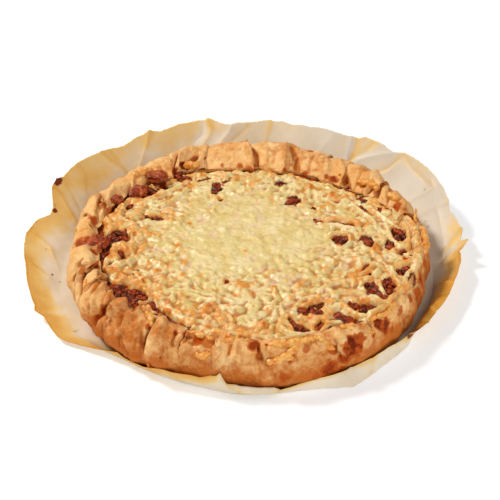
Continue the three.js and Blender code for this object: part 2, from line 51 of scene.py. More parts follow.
# A millimetre in metres, and the radii at which azimuths on the rim and on the paper turn into millimetres.
MM = 0.001
RIM_RADIUS = 125.0
PAPER_RADIUS = 150

Array = np.ndarray
Pair = tuple[Array, Array]
Object = bpy.types.Object
Node = bpy.types.Node
Socket = bpy.types.NodeSocket
Tree = bpy.types.NodeTree


# ------------------------------------------------------------------ numbers


def srgb(red: float, green: float, blue: float) -> tuple[float, float, float, float]:
    """A colour seen as red, green and blue from 0 to 255, as the linear RGBA that shaders take."""
    channels = (value / 255 for value in (red, green, blue))
    linear = (c / 12.92 if c <= 0.04045 else ((c + 0.055) / 1.055) ** 2.4 for c in channels)
    return (*linear, 1.0)


def smooth_step(value: Array, low: float = 0.0, high: float = 1.0) -> Array:
    """Rises smoothly from 0 at low to 1 at high."""
    share = np.clip((value - low) / (high - low), 0, 1)
    return share * share * (3 - 2 * share)


def blend(start: Array, end: Array, share: Array) -> Array:
    """The value that is share of the way from start to end."""
    return start + (end - start) * share


def bell(distance: Array, width: float) -> Array:
    """1 at no distance, fading to 0 along a bell curve of a width."""
    return np.exp(-((distance / width) ** 2))


def gap_from(azimuth: Array, middle: Array) -> Array:
    """Degrees from a middle azimuth to others, between -180 and 180."""
    return np.mod(azimuth - middle + 180, 360) - 180


def turned(x: Array, y: Array, angle: float) -> Pair:
    """How far places lie along a direction, given in radians, and how far to the left of it."""
    return x * math.cos(angle) + y * math.sin(angle), y * math.cos(angle) - x * math.sin(angle)


def each(kind: type, *rows: tuple) -> tuple:
    """One thing of a kind for each row of a table."""
    return tuple(kind(*row) for row in rows)


def lattice_noise(points: Array, seed: int) -> Array:
    """Smooth unevenness between -1 and 1, with bumps about one unit apart.

    Args:
        points: Array whose last axis holds x, y and z.
        seed: Which pattern is drawn.

    Returns:
        One value for each point.
    """
    cell = np.floor(points).astype(np.int64)
    share = smooth_step(points - cell)
    total = np.zeros(points.shape[:-1])
    for corner in product((0, 1), repeat=3):
        at = cell + np.array(corner)
        code = at[..., 0] * 374761393 + at[..., 1] * 668265263 + at[..., 2] * 1442695041 + seed * 974711
        code = ((code & 0xFFFFFFFF) ^ ((code & 0xFFFFFFFF) >> 13)) * 1274126177
        code = (code & 0xFFFFFFFF) ^ ((code & 0xFFFFFFFF) >> 16)
        weight = np.prod(np.where(np.array(corner) == 1, share, 1 - share), axis=-1)
        total += weight * (code / 0xFFFFFFFF * 2 - 1)
    return total


def layered_noise(points: Array, size: float, seed: int, layers: int = 3) -> Array:
    """Unevenness made of bumps of one size with finer and weaker ones on top."""
    return sum(0.5**k * lattice_noise(points / size * 2**k + 13.7 * k, seed + k) for k in range(layers))


def pattern(seed: int, x: Array, y: Array = 0.0, z: float = 0.0) -> Array:
    """Smooth unevenness over coordinates that are counted in bumps."""
    return lattice_noise(np.stack(np.broadcast_arrays(x, y, z), axis=-1), seed)


def knobs(flat: Array, size: float, seed: int) -> Pair:
    """Rounded lumps side by side with sharp creases between them.

    Args:
        flat: Array whose last axis starts with x and y.
        size: Distance between neighbouring lumps.
        seed: Which lumps are drawn.

    Returns:
        How high each point stands on its lump, and a random number for its lump, both from 0 to 1.
    """
    cells = 64
    warp = np.stack([layered_noise(flat, 2.0 * size, seed + k, 2) for k in (1, 2)], axis=-1)
    place = flat[..., :2] / size + 0.85 * warp
    cell = np.floor(place).astype(int)
    draw = np.random.default_rng(seed)
    middles = draw.uniform(0.1, 0.9, (cells, cells, 2))
    numbers = draw.uniform(0, 1, (cells, cells))
    best = np.full(place.shape[:-1], 9.0)
    number = np.zeros(best.shape)
    for shift in product((-1, 0, 1), repeat=2):
        at = cell + np.array(shift)
        i, j = at[..., 0] % cells, at[..., 1] % cells
        distance = np.linalg.norm(at + middles[i, j] - place, axis=-1)
        nearer = distance < best
        best = np.where(nearer, distance, best)
        number = np.where(nearer, numbers[i, j], number)
    return np.clip(1 - (best / 0.8) ** 2, 0, 1), number


def polar(azimuth: Array, radius: Array, height: Array) -> Array:
    """Points given by azimuth, radius and height, with x, y and z on the last axis."""
    angle = np.radians(azimuth)
    azimuth, radius, height = np.broadcast_arrays(azimuth, radius, height)
    return np.stack([radius * np.cos(angle), radius * np.sin(angle), height], axis=-1)


def round_table(table: Array, azimuth: Array, column: int = 1, smooth: bool = True) -> Array:
    """Looks a value up in a closed table of stations round the pie.

    Args:
        table: Rows that start with an azimuth, in rising order.
        azimuth: Where the value is wanted.
        column: Which entry of a row is wanted.
        smooth: Whether it changes smoothly or straight from station to station.

    Returns:
        The value at each azimuth.
    """
    angle = np.mod(azimuth, 360)
    k = (np.searchsorted(table[:, 0], angle, side="right") - 1) % len(table)
    after = (k + 1) % len(table)
    width = np.mod(table[after, 0] - table[k, 0], 360)
    share = np.mod(angle - table[k, 0], 360) / width
    return blend(table[k, column], table[after, column], smooth_step(share) if smooth else share)


def blur(values: Array, radius: float) -> Array:
    """A grid softened by a bell curve whose radius is given in cells."""
    reach = int(math.ceil(2.5 * radius))
    weights = np.exp(-0.5 * (np.arange(-reach, reach + 1) / radius) ** 2)
    weights /= weights.sum()
    for axis in (0, 1):
        padded = np.pad(values, [(reach, reach) if a == axis else (0, 0) for a in (0, 1)], mode="edge")
        count = values.shape[axis]
        values = sum(w * np.take(padded, range(i, i + count), axis=axis) for i, w in enumerate(weights))
    return values


def spline(line: Array, t: Array) -> Array:
    """A smooth line through points on the last axis, read at places that are counted in points."""
    k = np.minimum(t.astype(int), line.shape[-1] - 2)
    before = 2 * line[..., :1] - line[..., 1:2]
    after = 2 * line[..., -1:] - line[..., -2:-1]
    padded = np.concatenate([before, line, after], axis=-1)
    a, b, c, d = (padded[..., k + i] for i in range(4))
    t = t - k
    return 0.5 * (2 * b + (c - a) * t + (2 * a - 5 * b + 4 * c - d) * t**2 + (3 * b - a - 3 * c + d) * t**3)


def along(points: list[tuple], spacing: float) -> Array:
    """Places at even spacing along a smooth line through some points."""
    line = np.array(points, float)
    curve = spline(line.T, np.linspace(0, len(line) - 1, 40 * len(line))).T
    length = np.concatenate([[0], np.cumsum(np.linalg.norm(np.diff(curve, axis=0), axis=1))])
    wanted = np.linspace(0, length[-1], max(2, int(length[-1] / spacing) + 1))
    return np.stack([np.interp(wanted, length, curve[:, axis]) for axis in range(3)], axis=-1)


# ------------------------------------------------------------------ the pie's plan


@dataclass(frozen=True)
class Pleat:
    """One pleat of the rim: its crease's azimuth, its lip and overhang at both ends, and its lean."""

    at: float
    lip: tuple[float, float]
    proud: tuple[float, float]
    lean: float = 0.0


PLEATS = each(
    Pleat,
    (3, (123, 121), (0.3, 0)), (13, (117, 116), (1.6, 0.4)), (22, (114, 112), (-1.2, -0.6), -2),
    (33, (112, 108), (0.5, 3.6), -3), (41, (105, 102), (2.6, -0.8), -5), (50, (101, 99), (0.6, -0.6), -5),
    (58.5, (99, 98), (0.9, -0.6), -3), (70, (98, 95), (-0.4, 2.6), -1), (77.5, (96, 99), (1.8, -1.1), -2),
    (91, (94, 102), (2.5, -1.4), -3), (106, (104, 106), (-0.2, 3.9), 4), (114, (107, 104), (3.4, 0.6), 7),
    (121, (102, 106), (1.2, -2.4), 5), (131, (109, 112), (-2.6, -2.8), 3),
    (143, (112, 113), (-0.2, -3.4), 2), (159, (115, 116), (4.6, 0), 5), (167, (114, 113), (0.8, -0.6), 3),
    (177, (113, 112), (-1.2, -1.2)), (190, (111, 112), (1.6, -0.2), -2), (201, (112, 113), (1.6, -0.2), -3),
    (208, (113, 117.5), (1.2, -1.6), -3), (223.5, (118.5, 118), (2.6, 0.3), -3),
    (230.5, (110.5, 112), (2.4, -0.3), -2), (240.5, (110, 114), (3.5, 0.2), -3),
    (250, (116, 119), (1, 0), -1), (260, (119, 121), (0.9, 0), 1), (272, (120, 121), (0.7, 0)),
    (284, (121, 123), (0.5, -0.1)), (297, (123, 125), (1.4, -0.2)), (309, (125, 125.5), (0.9, -0.1)),
    (322, (125, 124.5), (0.6, -0.3)), (341, (124, 123.5), (0.6, -0.2)),
)

CROWN_HEIGHT = np.array([
    (0, 33.6), (35, 37), (90, 39), (135, 37), (200, 37.2), (250, 36.6), (290, 35.4), (330, 33.2),
])

# How far down the wall the pleats reach: 0 fades out under the rim, 1 goes to the foot.
PLEAT_REACH = np.array([(0, 0.5), (185, 0.5), (198, 0.9), (232, 0.9), (241, 0.5), (254, 0.1), (345, 0.1)])

# How far the wall stands outside its usual radius.
WALL_SHIFT = np.array([
    (0, -3.4), (12, -2), (25, -0.5), (150, 0), (160, -2.5), (170, -4.4), (180, -3.6), (190, -2.8),
    (205, -2.4), (217, -0.6), (228, 0), (300, 0.6), (310, 1.6), (318, 0.6), (326, -1.2), (336, -3.4),
    (348, -4),
])

# How much fuller the foot of the wall is.
FOOT = np.array([(0, 0.5), (30, 0), (205, 0), (218, 0.3), (262, 0.3), (276, 0.9), (330, 1), (345, 0.7)])

# How far the cheese reaches past the crust's lip.
CHEESE_REACH = np.array([
    (0, 6.5), (10, 6), (17, 2), (24, 0.2), (125, 0.2), (165, -1), (180, -5), (200, -1.2), (219, -3),
    (232, 3), (240, -1), (256, -1), (264, 3.4), (271, -0.8), (280, 4.5), (290, 2), (301, -1.5), (309, 4.6),
    (330, 6),
])


@dataclass(frozen=True)
class Hole:
    """A hole baked into the cheese: its centre, length, width and the turn of its long side."""

    x: float
    y: float
    length: float
    width: float
    turn: float = 0.0


# Holes wider than this opened further than their strands show.
WIDE_HOLE = 4.0
HOLE_GROWTH = 2.6

HOLES = each(
    Hole,
    (-24.5, 71, 11, 4.6, 78), (-17.5, 79, 10, 3, 28), (26, 75, 7, 5.5, 110), (35, 51.5, 11, 6.5, 84),
    (53, 23.5, 5, 3), (50, 39.5, 2.6, 2), (64, 21, 9, 3, 10), (76, 18.5, 13, 4.2, 14),
    (68.5, -2, 11, 7, 100), (89.5, -3, 12, 4.6, 105), (105, -5.5, 9, 3.6, 95), (113, 5.5, 14, 10.5, 85),
    (114.5, -14, 4, 2), (117, -24.5, 5, 4), (85.5, -37.5, 12, 4.2, 60), (113, -39, 13, 8, 60),
    (118, -51.5, 14, 5.6, 82), (88, -60.5, 17, 5.6, 100), (101.5, -57.5, 23, 6.4, 98), (96, -71, 8, 3),
    (72.5, -80, 9, 5.5, 80), (82.5, -81, 14, 8, 118), (49, -80, 10, 4, 50), (43.5, -87.5, 17, 11, 118),
    (50.5, -102, 9, 4.6, 75), (63.5, -94, 13, 5, 120), (70, -102.5, 20, 9, 12), (58, -107.5, 10, 3.4, 14),
    (30, -98.5, 11, 2.6, 118), (36.5, -106, 7, 5), (93, -109, 3, 2), (-71.5, 27, 13, 2.8, -14),
    (-92, 25.5, 3.2, 3), (-22, 52.5, 2.6, 2.4), (-93, 44, 7, 2.6, 80), (-56, 88, 12, 6, 100),
    (-49, 83.5, 5, 4), (-34.5, 83.5, 9, 2.4, 35), (-69, 75, 17, 4.4, 112), (-83, 64, 20, 13, -28),
    (-98, 2, 15, 14, 20), (-105.5, -17, 24, 7.5, 100), (-93, -21, 10, 3.2, 112), (-81.5, -41.5, 6, 2.2, 45),
    (-90.5, -65, 21, 12, -50), (-80, -69, 15, 10, -40), (-79, -81, 10, 5, -60),
    (-62.5, -86.5, 18, 3.4, -52), (-47, -103.5, 12, 3.2, -28), (-15.5, -53, 5, 3, 80),
    (-3, -118.5, 8, 2.6, -10), (88, 54, 13, 3.6, 130), (89, 39, 13, 2.2, 126), (101.5, 38, 9, 3.4, 70),
    (122, 31, 8, 6),
)


@dataclass(frozen=True)
class Toast:
    """A browned spot on the cheese: its centre, its radius, how brown it is and how far it stands up."""

    x: float
    y: float
    size: float
    strength: float
    rise: float = 0.8


TOASTS = each(
    Toast,
    (-103, 42, 6, 0.55, 1.2), (-115, 16, 4, 1.1, 1.6), (-112, 22, 3.4, 0.6, 1.2), (-99, 12, 3, 0.9, 1.4),
    (-85.5, 4, 4, 1.1, 2.4), (-91, -2, 4.4, 0.85, 2.4), (-87, 13, 1.6, 0.9), (-93, 34, 2.2, 0.8),
    (-82, 46, 2.6, 0.8), (-72, 56, 2.6, 0.7), (-76, 30.5, 3.6, 0.9, 1.6), (-69, 32, 3.4, 0.6, 1.4),
    (-65, 36, 2, 0.6), (-57.5, 35, 2.2, 1, 1.1), (-51, 34, 3, 0.7, 0.8), (-51, 28, 2.3, 0.9, 1),
    (-62, 49, 4.4, 0.55, -0.9), (-78, 11, 4.2, 1, 1.4), (-79, 16, 2, 0.6), (-63, 10, 1.6, 0.6),
    (-62.5, -2, 1.6, 0.8), (-45, 20, 3.2, 1.1, 0.7), (-42, 14, 2, 0.5, -0.6), (-28.5, 37, 2.1, 0.8),
    (-26, 43, 1.6, 0.5), (-38, 46, 1.8, 0.8), (-40, 54, 2, 0.5), (-40, 72, 1.6, 0.7), (-58, 72, 1.8, 0.8),
    (-32, 77, 1.6, 0.7), (-20, 85.5, 2.2, 0.85, 1.1), (-25, 18, 2, 0.5, 0.3), (-41, 90, 2.6, 0.7, 1.2),
    (-50, 96, 3, 0.85, 1.4), (-33, 97, 2.4, 0.7, 1.2), (-12, 30, 1.2, 0.35, 0.2), (-12, 45, 1.2, 0.3, 0.2),
    (5, 82, 3, 0.5), (17, 67, 1.7, 0.8), (20.5, 79, 1.5, 0.85), (12, 90, 3, 0.35), (43.5, 74, 1.8, 0.9),
    (43.5, 53, 2, 0.9), (43.5, 48, 1.3, 0.45), (33, 40.5, 3, 0.5, 0.4), (36, 67, 0.9, 0.7),
    (53.5, 37, 2.1, 1, 1.2), (56, 33.5, 2.4, 0.8, 1), (45, 33, 1.2, 0.6), (54.5, 57, 1.6, 0.7),
    (70, 43, 1.5, 0.5), (85, 36, 1.4, 0.6), (76, 57, 1.5, 0.85), (74.5, 4, 1.4, 0.75), (60, 3, 1.5, 0.5),
    (35, 62, 3, 0.35), (55, 70, 3, 0.4, -0.6), (7, 55, 2.5, 0.3, -0.5), (98, 54, 6, 0.7, 1.2),
    (104, 38, 3.4, 0.65, 1.2), (82, 61, 2.6, 0.9, 0.6), (96, 46, 4, 0.8, 0.9), (99.5, 5, 1.7, 0.85),
    (123, 14, 3.2, 0.9, 1.1), (126, 3, 2.6, 1.1, -1), (118, 22, 2.2, 0.8), (-52.5, -10, 3.8, 1.1, 0.9),
    (-78, -10, 1.7, 0.75), (-82, -15, 2, 0.85), (-72, -17, 2.2, 0.8), (-48, -19, 2.6, 0.5),
    (-35, -20, 1.6, 0.5), (-58, -36.5, 2.7, 1, 1.2), (-73, -32, 2.2, 0.8), (-77, -35, 2, 0.8),
    (-74, -27, 1.6, 0.5), (-93, -12.5, 4.2, 0.9, 2.2), (-99, -24, 4.6, 0.8, 2.2), (-87, -16, 2.6, 0.8, 1.8),
    (-96, -41, 5.4, 0.75, 2.6), (-90, -51, 4.2, 0.6, 2.4), (-92, -34, 5, 0.3, 2.4),
    (-106, -27, 3.4, 0.6, 1.4), (-80, -47, 3, 0.85, 1.8), (-75.5, -57, 4.8, 1, 2.8),
    (-82, -52, 2.6, 0.7, 1.6), (-72, -50, 3, 0.6, 1.4), (-62.5, -60, 2.8, 0.85, 1.2),
    (-66, -71, 3.8, 0.9, 2.2), (-64, -77, 2.6, 0.75, 1.8), (-47, -45.5, 2.8, 1, 0.9), (-34, -46, 2.2, 0.75),
    (-28, -34, 2, 0.5), (-39, -62, 2.6, 1.05, 0.9), (-28, -61, 2, 0.5), (-8.5, -69, 3.4, 0.95, 1),
    (-47, -77, 2, 0.9), (-44, -72, 2, 0.7), (-54, -83, 1.7, 0.6), (-30, -89, 3.4, 1, 1.3),
    (-20, -96, 6, 0.85, 1.7), (-14, -104, 2, 0.7, -0.4), (-2, -16.5, 2.2, 1, 0.5), (-11, -47.5, 1.4, 0.65),
    (-6, -55, 1.5, 0.4), (-3, -63, 1.6, 0.5), (-1, -57, 1.4, 0.65), (-28, -104, 4.2, 1, 1.8),
    (-37, -102.5, 4, 0.75, 1.6), (-46, -98, 3, 0.7, 1.2), (-41, -99, 2, 0.9), (-67, -84.5, 3.8, 0.8, 2.4),
    (-67, -94, 3.6, 0.9, 1.4), (4, -104, 3, 0.7, 1), (3, -99, 1.5, 0.55), (-5, -113, 3, 0.6, 0.8),
    (-13, -119, 4.6, 0.8, 1.6), (-22, -112, 2, 0.9, -0.4), (10, -105, 5.6, 0.95, 1.6),
    (13, -84, 2, 1.05, 0.9), (0, -63, 1.6, 0.65), (10, -65, 1.5, 0.45), (25, -87, 3, 0.45),
    (20, -74, 2, 0.35), (3, -97.5, 1.4, 0.7), (52, -29, 1.6, 0.8), (53, -36, 1.2, 0.9, -0.4),
    (67, -17, 1.6, 0.5), (67, -23, 1.5, 0.4), (65.5, -45, 2.8, 0.85), (76.5, -36, 1.7, 0.65),
    (81.5, -25, 1.9, 0.5), (108, -16, 1.7, 0.9), (97, -26, 3, 0.6), (96, -32, 2.2, 0.7), (105, -37, 2, 0.6),
    (84, -46.5, 3.2, 0.8), (90, -48, 2.2, 0.6), (76, -55, 2.7, 0.6), (56, -58, 2.7, 0.7),
    (60, -66, 2.2, 0.7), (69, -57, 2.2, 0.6), (66, -74, 1.8, 0.9), (73, -72, 2.2, 0.8),
    (46, -76.5, 4.4, 0.8, 1), (40, -80.5, 3, 0.7, 0.8), (66, -83.5, 2.3, 1, 0.6), (84, -75, 3.2, 0.9, 0.8),
    (92, -66, 3.6, 0.5, 0.8), (108, -60, 2.6, 0.8, 0.8), (106, -53, 2.2, 0.6), (115, -31, 3.8, 0.95, 1.2),
    (121, -29, 3, 0.7, 0.8), (125, -22, 2.4, 1, 0.4), (92, -77, 4.6, 0.65, 0.6), (101, -75, 4, 0.7, 0.5),
    (115, -62, 3, 0.6, 0.5), (126, -40, 3, 0.9, 0.5), (117, -69, 3, 1, 0.3), (55, -99, 2.5, 0.4, 0.4),
    (48, -94, 3.4, 0.75, 1.2), (73, -95.5, 2.6, 0.7, 0.2), (60, -117, 2.2, 0.8),
    (32, -107.5, 3.4, 0.6, 1.2), (36, -100.5, 2.6, 0.7, 1), (22, -112, 2.8, 0.7, 1), (15, -113, 2, 0.6),
)


@dataclass(frozen=True)
class Strand:
    """A thick strand of melted cheese: its line over the pie, its width, its rise and how brown it is."""

    line: tuple[tuple[float, float], ...]
    width: float
    rise: float = 4.6
    toast: float = 0.0


STRANDS = each(
    Strand,
    (((33, -84), (37, -76), (44, -70.5), (51, -71)), 3.8, 4.6),
    (((38, -82), (43, -78), (51, -73.5)), 4.6, 4, 0.7),
    (((53, -97), (56, -89), (62, -81.5), (67, -80)), 6.6, 5.2, 0.1),
    (((66, -81), (70, -87), (77, -92.5), (84, -94), (91, -90.5), (97, -86)), 5.6, 5.4, 0.05),
    (((96, -86), (101, -88), (104, -92)), 5.4, 4.6, 0.2),
    (((50, -110), (54, -103.5), (60, -100), (64, -101)), 5.4, 4.8, 0.1),
    (((79, -77), (88, -77), (98, -78), (106, -72), (112, -65), (119, -60)), 5.8, 5.4, 0.35),
    (((112, -60), (112.5, -51), (116, -42), (122, -37), (127, -31)), 4.2, 5, 0.2),
    (((123, -36), (122.5, -48), (121, -58), (118, -66)), 3.8, 5, 0.45),
    (((94, -52), (94, -60), (96, -67)), 4.4, 4.6, 0.25),
    (((104, -36), (104.5, -46), (108, -56)), 4.6, 4.6, 0.15),
    (((108, -34), (115, -31), (122, -33)), 6, 4.6, 0.5),
    (((-24, -109), (-14, -112), (-4, -112.5), (7, -115.5), (16, -116.5)), 6, 5, 0.35),
    (((43, -92), (46, -96), (50, -95)), 5, 4.8, 0.5),
    (((24, -94), (22, -102), (27, -110), (36, -113), (47, -111)), 5.2, 4.6, 0.25),
    (((-100, -10), (-94, -8.5), (-88, -12), (-85, -20)), 5.4, 5, 0.6),
    (((-100, -14), (-99, -22), (-96, -27)), 5.6, 5, 0.5),
    (((-81, -43), (-77, -50), (-70, -56)), 5.4, 4.8, 0.35),
    (((-60, -78), (-54, -86), (-48, -93), (-40, -97)), 6, 4.6, 0.1),
    (((-62, -66), (-50, -66), (-38, -69), (-28, -74), (-18, -73), (-10, -77)), 4.4, 4.2),
    (((-56, -62), (-46, -62.5), (-34, -66), (-24, -69), (-16, -66)), 3.8, 4),
    (((-30, -97), (-24, -91), (-16, -90), (-11, -97), (-12, -106)), 3.6, 4.4, 0.5),
    (((-80, 52), (-72, 56), (-64, 62), (-56, 70), (-48, 78)), 6, 4.6, 0.05),
    (((-66, 46), (-58, 53), (-52, 60), (-48, 68)), 5.4, 4.4),
    (((-112, 30), (-106, 22), (-104, 12)), 5.5, 4.6, 0.3),
    (((-98, 48), (-92, 52), (-84, 52)), 5, 4.4, 0.3),
    (((59, 25), (68, 25.5), (78, 24), (84, 19)), 5.4, 4.8, 0.1),
    (((58, 17.5), (66, 18), (72, 15), (80, 13)), 4.4, 4.6),
    (((61, 6), (68, 7), (75, 5)), 5, 4.8, 0.35),
    (((80, 46), (88, 34), (95, 24), (97, 12)), 4.2, 4.6),
    (((96, 38), (103, 28), (110, 18)), 4.4, 4.4),
    (((104, 20), (106, 10), (108, -2), (113, -10)), 4, 4.4, 0.2),
    (((118, 20), (120, 10), (120, -2), (118, -12)), 4.4, 4.6, 0.6),
    (((62, -6), (66, -12), (72, -11), (76, -4)), 4.4, 4.6),
    (((84, -4), (86, -13), (92, -14), (96, -4)), 4.4, 4.6, 0.15),
    (((74, -48), (82, -44), (88, -38), (92, -30)), 4.6, 4.6, 0.3),
    (((70, -44), (78, -38), (84, -30), (88, -22)), 5.4, 4.6),
    (((52, -62), (60, -56), (70, -53), (80, -51), (88, -49)), 5.4, 4.6, 0.3),
    (((54, -70), (64, -66), (74, -65), (82, -68)), 5.4, 4.6, 0.35),
)


@dataclass
class RimState:
    """The pleated rim at a row of azimuths."""

    lip: Array
    proud: Array
    crown_radius: Array
    crown_height: Array
    lip_height: Array
    lean: Array


@dataclass
class Rim:
    """The folded rim of the crust, as a function of the azimuth."""

    pleats: tuple[Pleat, ...] = PLEATS
    puff: float = 0.9
    step_half: float = 1.1
    shoulder_foot: tuple[float, float] = (134.2, 28.0)
    underside: float = 29.6
    lip_thickness: float = 4.0

    def __post_init__(self) -> None:
        """Turns the pleats into columns of numbers."""
        self.at = np.array([p.at for p in self.pleats])
        self.lips = np.array([p.lip for p in self.pleats])
        self.prouds = np.array([p.proud for p in self.pleats])
        self.leans = np.array([(p.at, p.lean) for p in self.pleats])

    def nearest_crease(self, azimuth: Array) -> Pair:
        """The nearest crease's number, and the way past it along the rim in millimetres."""
        gap = gap_from(azimuth[..., None], self.at)
        k = np.abs(gap).argmin(axis=-1)
        return k, np.radians(np.take_along_axis(gap, k[..., None], axis=-1)[..., 0]) * RIM_RADIUS

    def jump(self, k: Array) -> Array:
        """How much higher the dough stands after crease k than before it."""
        return self.prouds[k, 0] - self.prouds[k - 1, 1]

    def state(self, azimuth: Array) -> RimState:
        """How the rim stands at each azimuth."""
        azimuth = np.asarray(azimuth, float)
        angle = np.mod(azimuth, 360)
        k = (np.searchsorted(self.at, angle, side="right") - 1) % len(self.at)
        width = np.mod(self.at[(k + 1) % len(self.at)] - self.at[k], 360)
        share = np.mod(angle - self.at[k], 360) / width
        lip = blend(self.lips[k, 0], self.lips[k, 1], share)
        proud = blend(self.prouds[k, 0], self.prouds[k, 1], share)
        crease, past = self.nearest_crease(azimuth)
        near = np.abs(past) < self.step_half
        step = smooth_step(past, -self.step_half, self.step_half)
        lip = np.where(near, blend(self.lips[crease - 1, 1], self.lips[crease, 0], step), lip)
        proud = np.where(near, blend(self.prouds[crease - 1, 1], self.prouds[crease, 0], step), proud)
        ring = polar(azimuth, RIM_RADIUS + 0 * azimuth, 0 * azimuth)
        lip = lip + 1.2 * lattice_noise(ring / 9, 41) + 0.6 * lattice_noise(ring / 4.5, 43)
        proud = proud + self.puff * np.sin(np.pi * share) * (width > 7)
        crown_height = round_table(CROWN_HEIGHT, azimuth) + 0.8 * proud
        return RimState(
            lip=lip,
            proud=proud,
            crown_radius=np.clip(lip + 4.5, 123.5, 128.5) + 0.4 * proud,
            crown_height=crown_height,
            lip_height=np.minimum(self.underside + self.lip_thickness, crown_height - 0.8),
            lean=round_table(self.leans, azimuth),
        )

    def rows(self, rim: RimState) -> list[tuple[Array, Array, float]]:
        """The rows from the shoulder over the crown to the lip: radius, height and swing of the creases."""
        fold = rim.crown_radius - rim.lip
        foot_radius, foot_height = self.shoulder_foot
        shoulder_radius = blend(foot_radius + rim.proud, rim.crown_radius, 0.32)
        shoulder_height = blend(foot_height, rim.crown_height, 0.62)
        return [
            (shoulder_radius, shoulder_height, -0.08),
            (rim.crown_radius, rim.crown_height, 0.0),
            (rim.lip + 0.6 * fold, blend(rim.lip_height, rim.crown_height, 0.8), 0.4),
            (rim.lip + np.minimum(2.5, 0.3 * fold), rim.lip_height + 0.15 * rim.proud, 0.9),
        ]

    def top(self, azimuth: Array, radius: Array) -> Array:
        """Height of the rim's top, and far below the pie inside the lip."""
        rows = self.rows(self.state(azimuth - round_table(self.leans, azimuth)))[::-1]
        radii, heights, _ = zip(*rows)
        top = np.where(radius < radii[0] - 1.5, -50.0, heights[0])
        for k in range(3):
            share = np.clip((radius - radii[k]) / np.maximum(radii[k + 1] - radii[k], 0.1), 0, 1)
            top = np.where(radius > radii[k], blend(heights[k], heights[k + 1], share), top)
        return top


# ------------------------------------------------------------------ mesh tools


def pick_only(piece: Object) -> None:
    """Selects one object alone and makes it the active one."""
    bpy.ops.object.select_all(action="DESELECT")
    piece.select_set(True)
    bpy.context.view_layer.objects.active = piece


def edit(piece: Object, *steps) -> None:
    """Runs edit-mode steps on the whole of a piece."""
    pick_only(piece)
    bpy.ops.object.mode_set(mode="EDIT")
    bpy.ops.mesh.select_all(action="SELECT")
    for step in steps:
        step()
    bpy.ops.object.mode_set(mode="OBJECT")


def weld() -> None:
    """Merges the points that lie on each other."""
    bpy.ops.mesh.remove_doubles(threshold=1e-6)


def clear_selection() -> None:
    """Leaves no point, edge or face picked."""
    bpy.ops.mesh.select_all(action="DESELECT")


def face_outwards() -> None:
    """Turns the faces of a closed shape outwards."""
    bpy.ops.mesh.normals_make_consistent(inside=False)


def apply_modifier(piece: Object, kind: str, **settings) -> None:
    """Adds one modifier to a piece and applies it."""
    pick_only(piece)
    modifier = piece.modifiers.new(kind.title(), kind)
    for name, value in settings.items():
        setattr(modifier, name, value)
    bpy.ops.object.modifier_apply(modifier=modifier.name)


def set_points(piece: Object, points: Array) -> None:
    """Writes a piece's points, given in millimetres."""
    piece.data.vertices.foreach_set("co", (points.reshape(-1, 3) * MM).ravel().astype(np.float32))
    piece.data.update()


def get_points(piece: Object) -> Array:
    """Reads a piece's points, in millimetres."""
    flat = np.empty(len(piece.data.vertices) * 3, np.float32)
    piece.data.vertices.foreach_get("co", flat)
    return flat.reshape(-1, 3).astype(float) / MM


def get_normals(piece: Object) -> Array:
    """Reads the directions in which a piece's surface faces at its points."""
    flat = np.empty(len(piece.data.vertices) * 3, np.float32)
    piece.data.vertex_normals.foreach_get("vector", flat)
    return flat.reshape(-1, 3).astype(float)


def paint(piece: Object, name: str, values: Array) -> None:
    """Stores one number for each point, for the piece's material to read."""
    layer = piece.data.attributes.new(name, "FLOAT", "POINT")
    layer.data.foreach_set("value", values.ravel().astype(np.float32))


def grid_piece(name: str, points: Array, masks: dict[str, Array]) -> Object:
    """Shapes a flat grid into a surface.

    Args:
        name: The piece's name.
        points: Places of the grid's points, in millimetres, by column and row.
        masks: Numbers for the points, to be read by the material, by their names.
    """
    columns, rows = points.shape[:2]
    bpy.ops.object.select_all(action="DESELECT")
    bpy.ops.mesh.primitive_grid_add(x_subdivisions=columns - 1, y_subdivisions=rows - 1, size=2)
    piece = bpy.context.active_object
    piece.name = name
    plan = get_points(piece) * MM
    i = np.rint((plan[:, 0] + 1) / 2 * (columns - 1)).astype(int)
    j = np.rint((plan[:, 1] + 1) / 2 * (rows - 1)).astype(int)
    set_points(piece, points[i, j])
    for mask, values in masks.items():
        paint(piece, mask, values[i, j])
    while piece.data.uv_layers:
        piece.data.uv_layers.remove(piece.data.uv_layers[0])
    return piece


def join(name: str, piece: Object, other: Object) -> Object:
    """Joins two objects into one."""
    pick_only(piece)
    other.select_set(True)
    bpy.ops.object.join()
    piece.name = name
    return piece


@dataclass(frozen=True)
class Blob:
    """A rounded lump: its centre, its half sizes, its turn about the vertical and its tilt before that."""

    centre: tuple[float, float, float]
    half: tuple[float, float, float]
    turn: float = 0.0
    tilt: float = 0.0


def unit_ball(detail: int) -> Pair:
    """Points and triangles of a ball with a radius of 1 mm."""
    bpy.ops.object.select_all(action="DESELECT")
    bpy.ops.mesh.primitive_ico_sphere_add(subdivisions=detail, radius=MM, location=(0, 0, 0))
    model = bpy.context.active_object
    points = get_points(model)
    model.data.calc_loop_triangles()
    faces = np.array([t.vertices[:] for t in model.data.loop_triangles])
    bpy.data.objects.remove(model)
    return points, faces


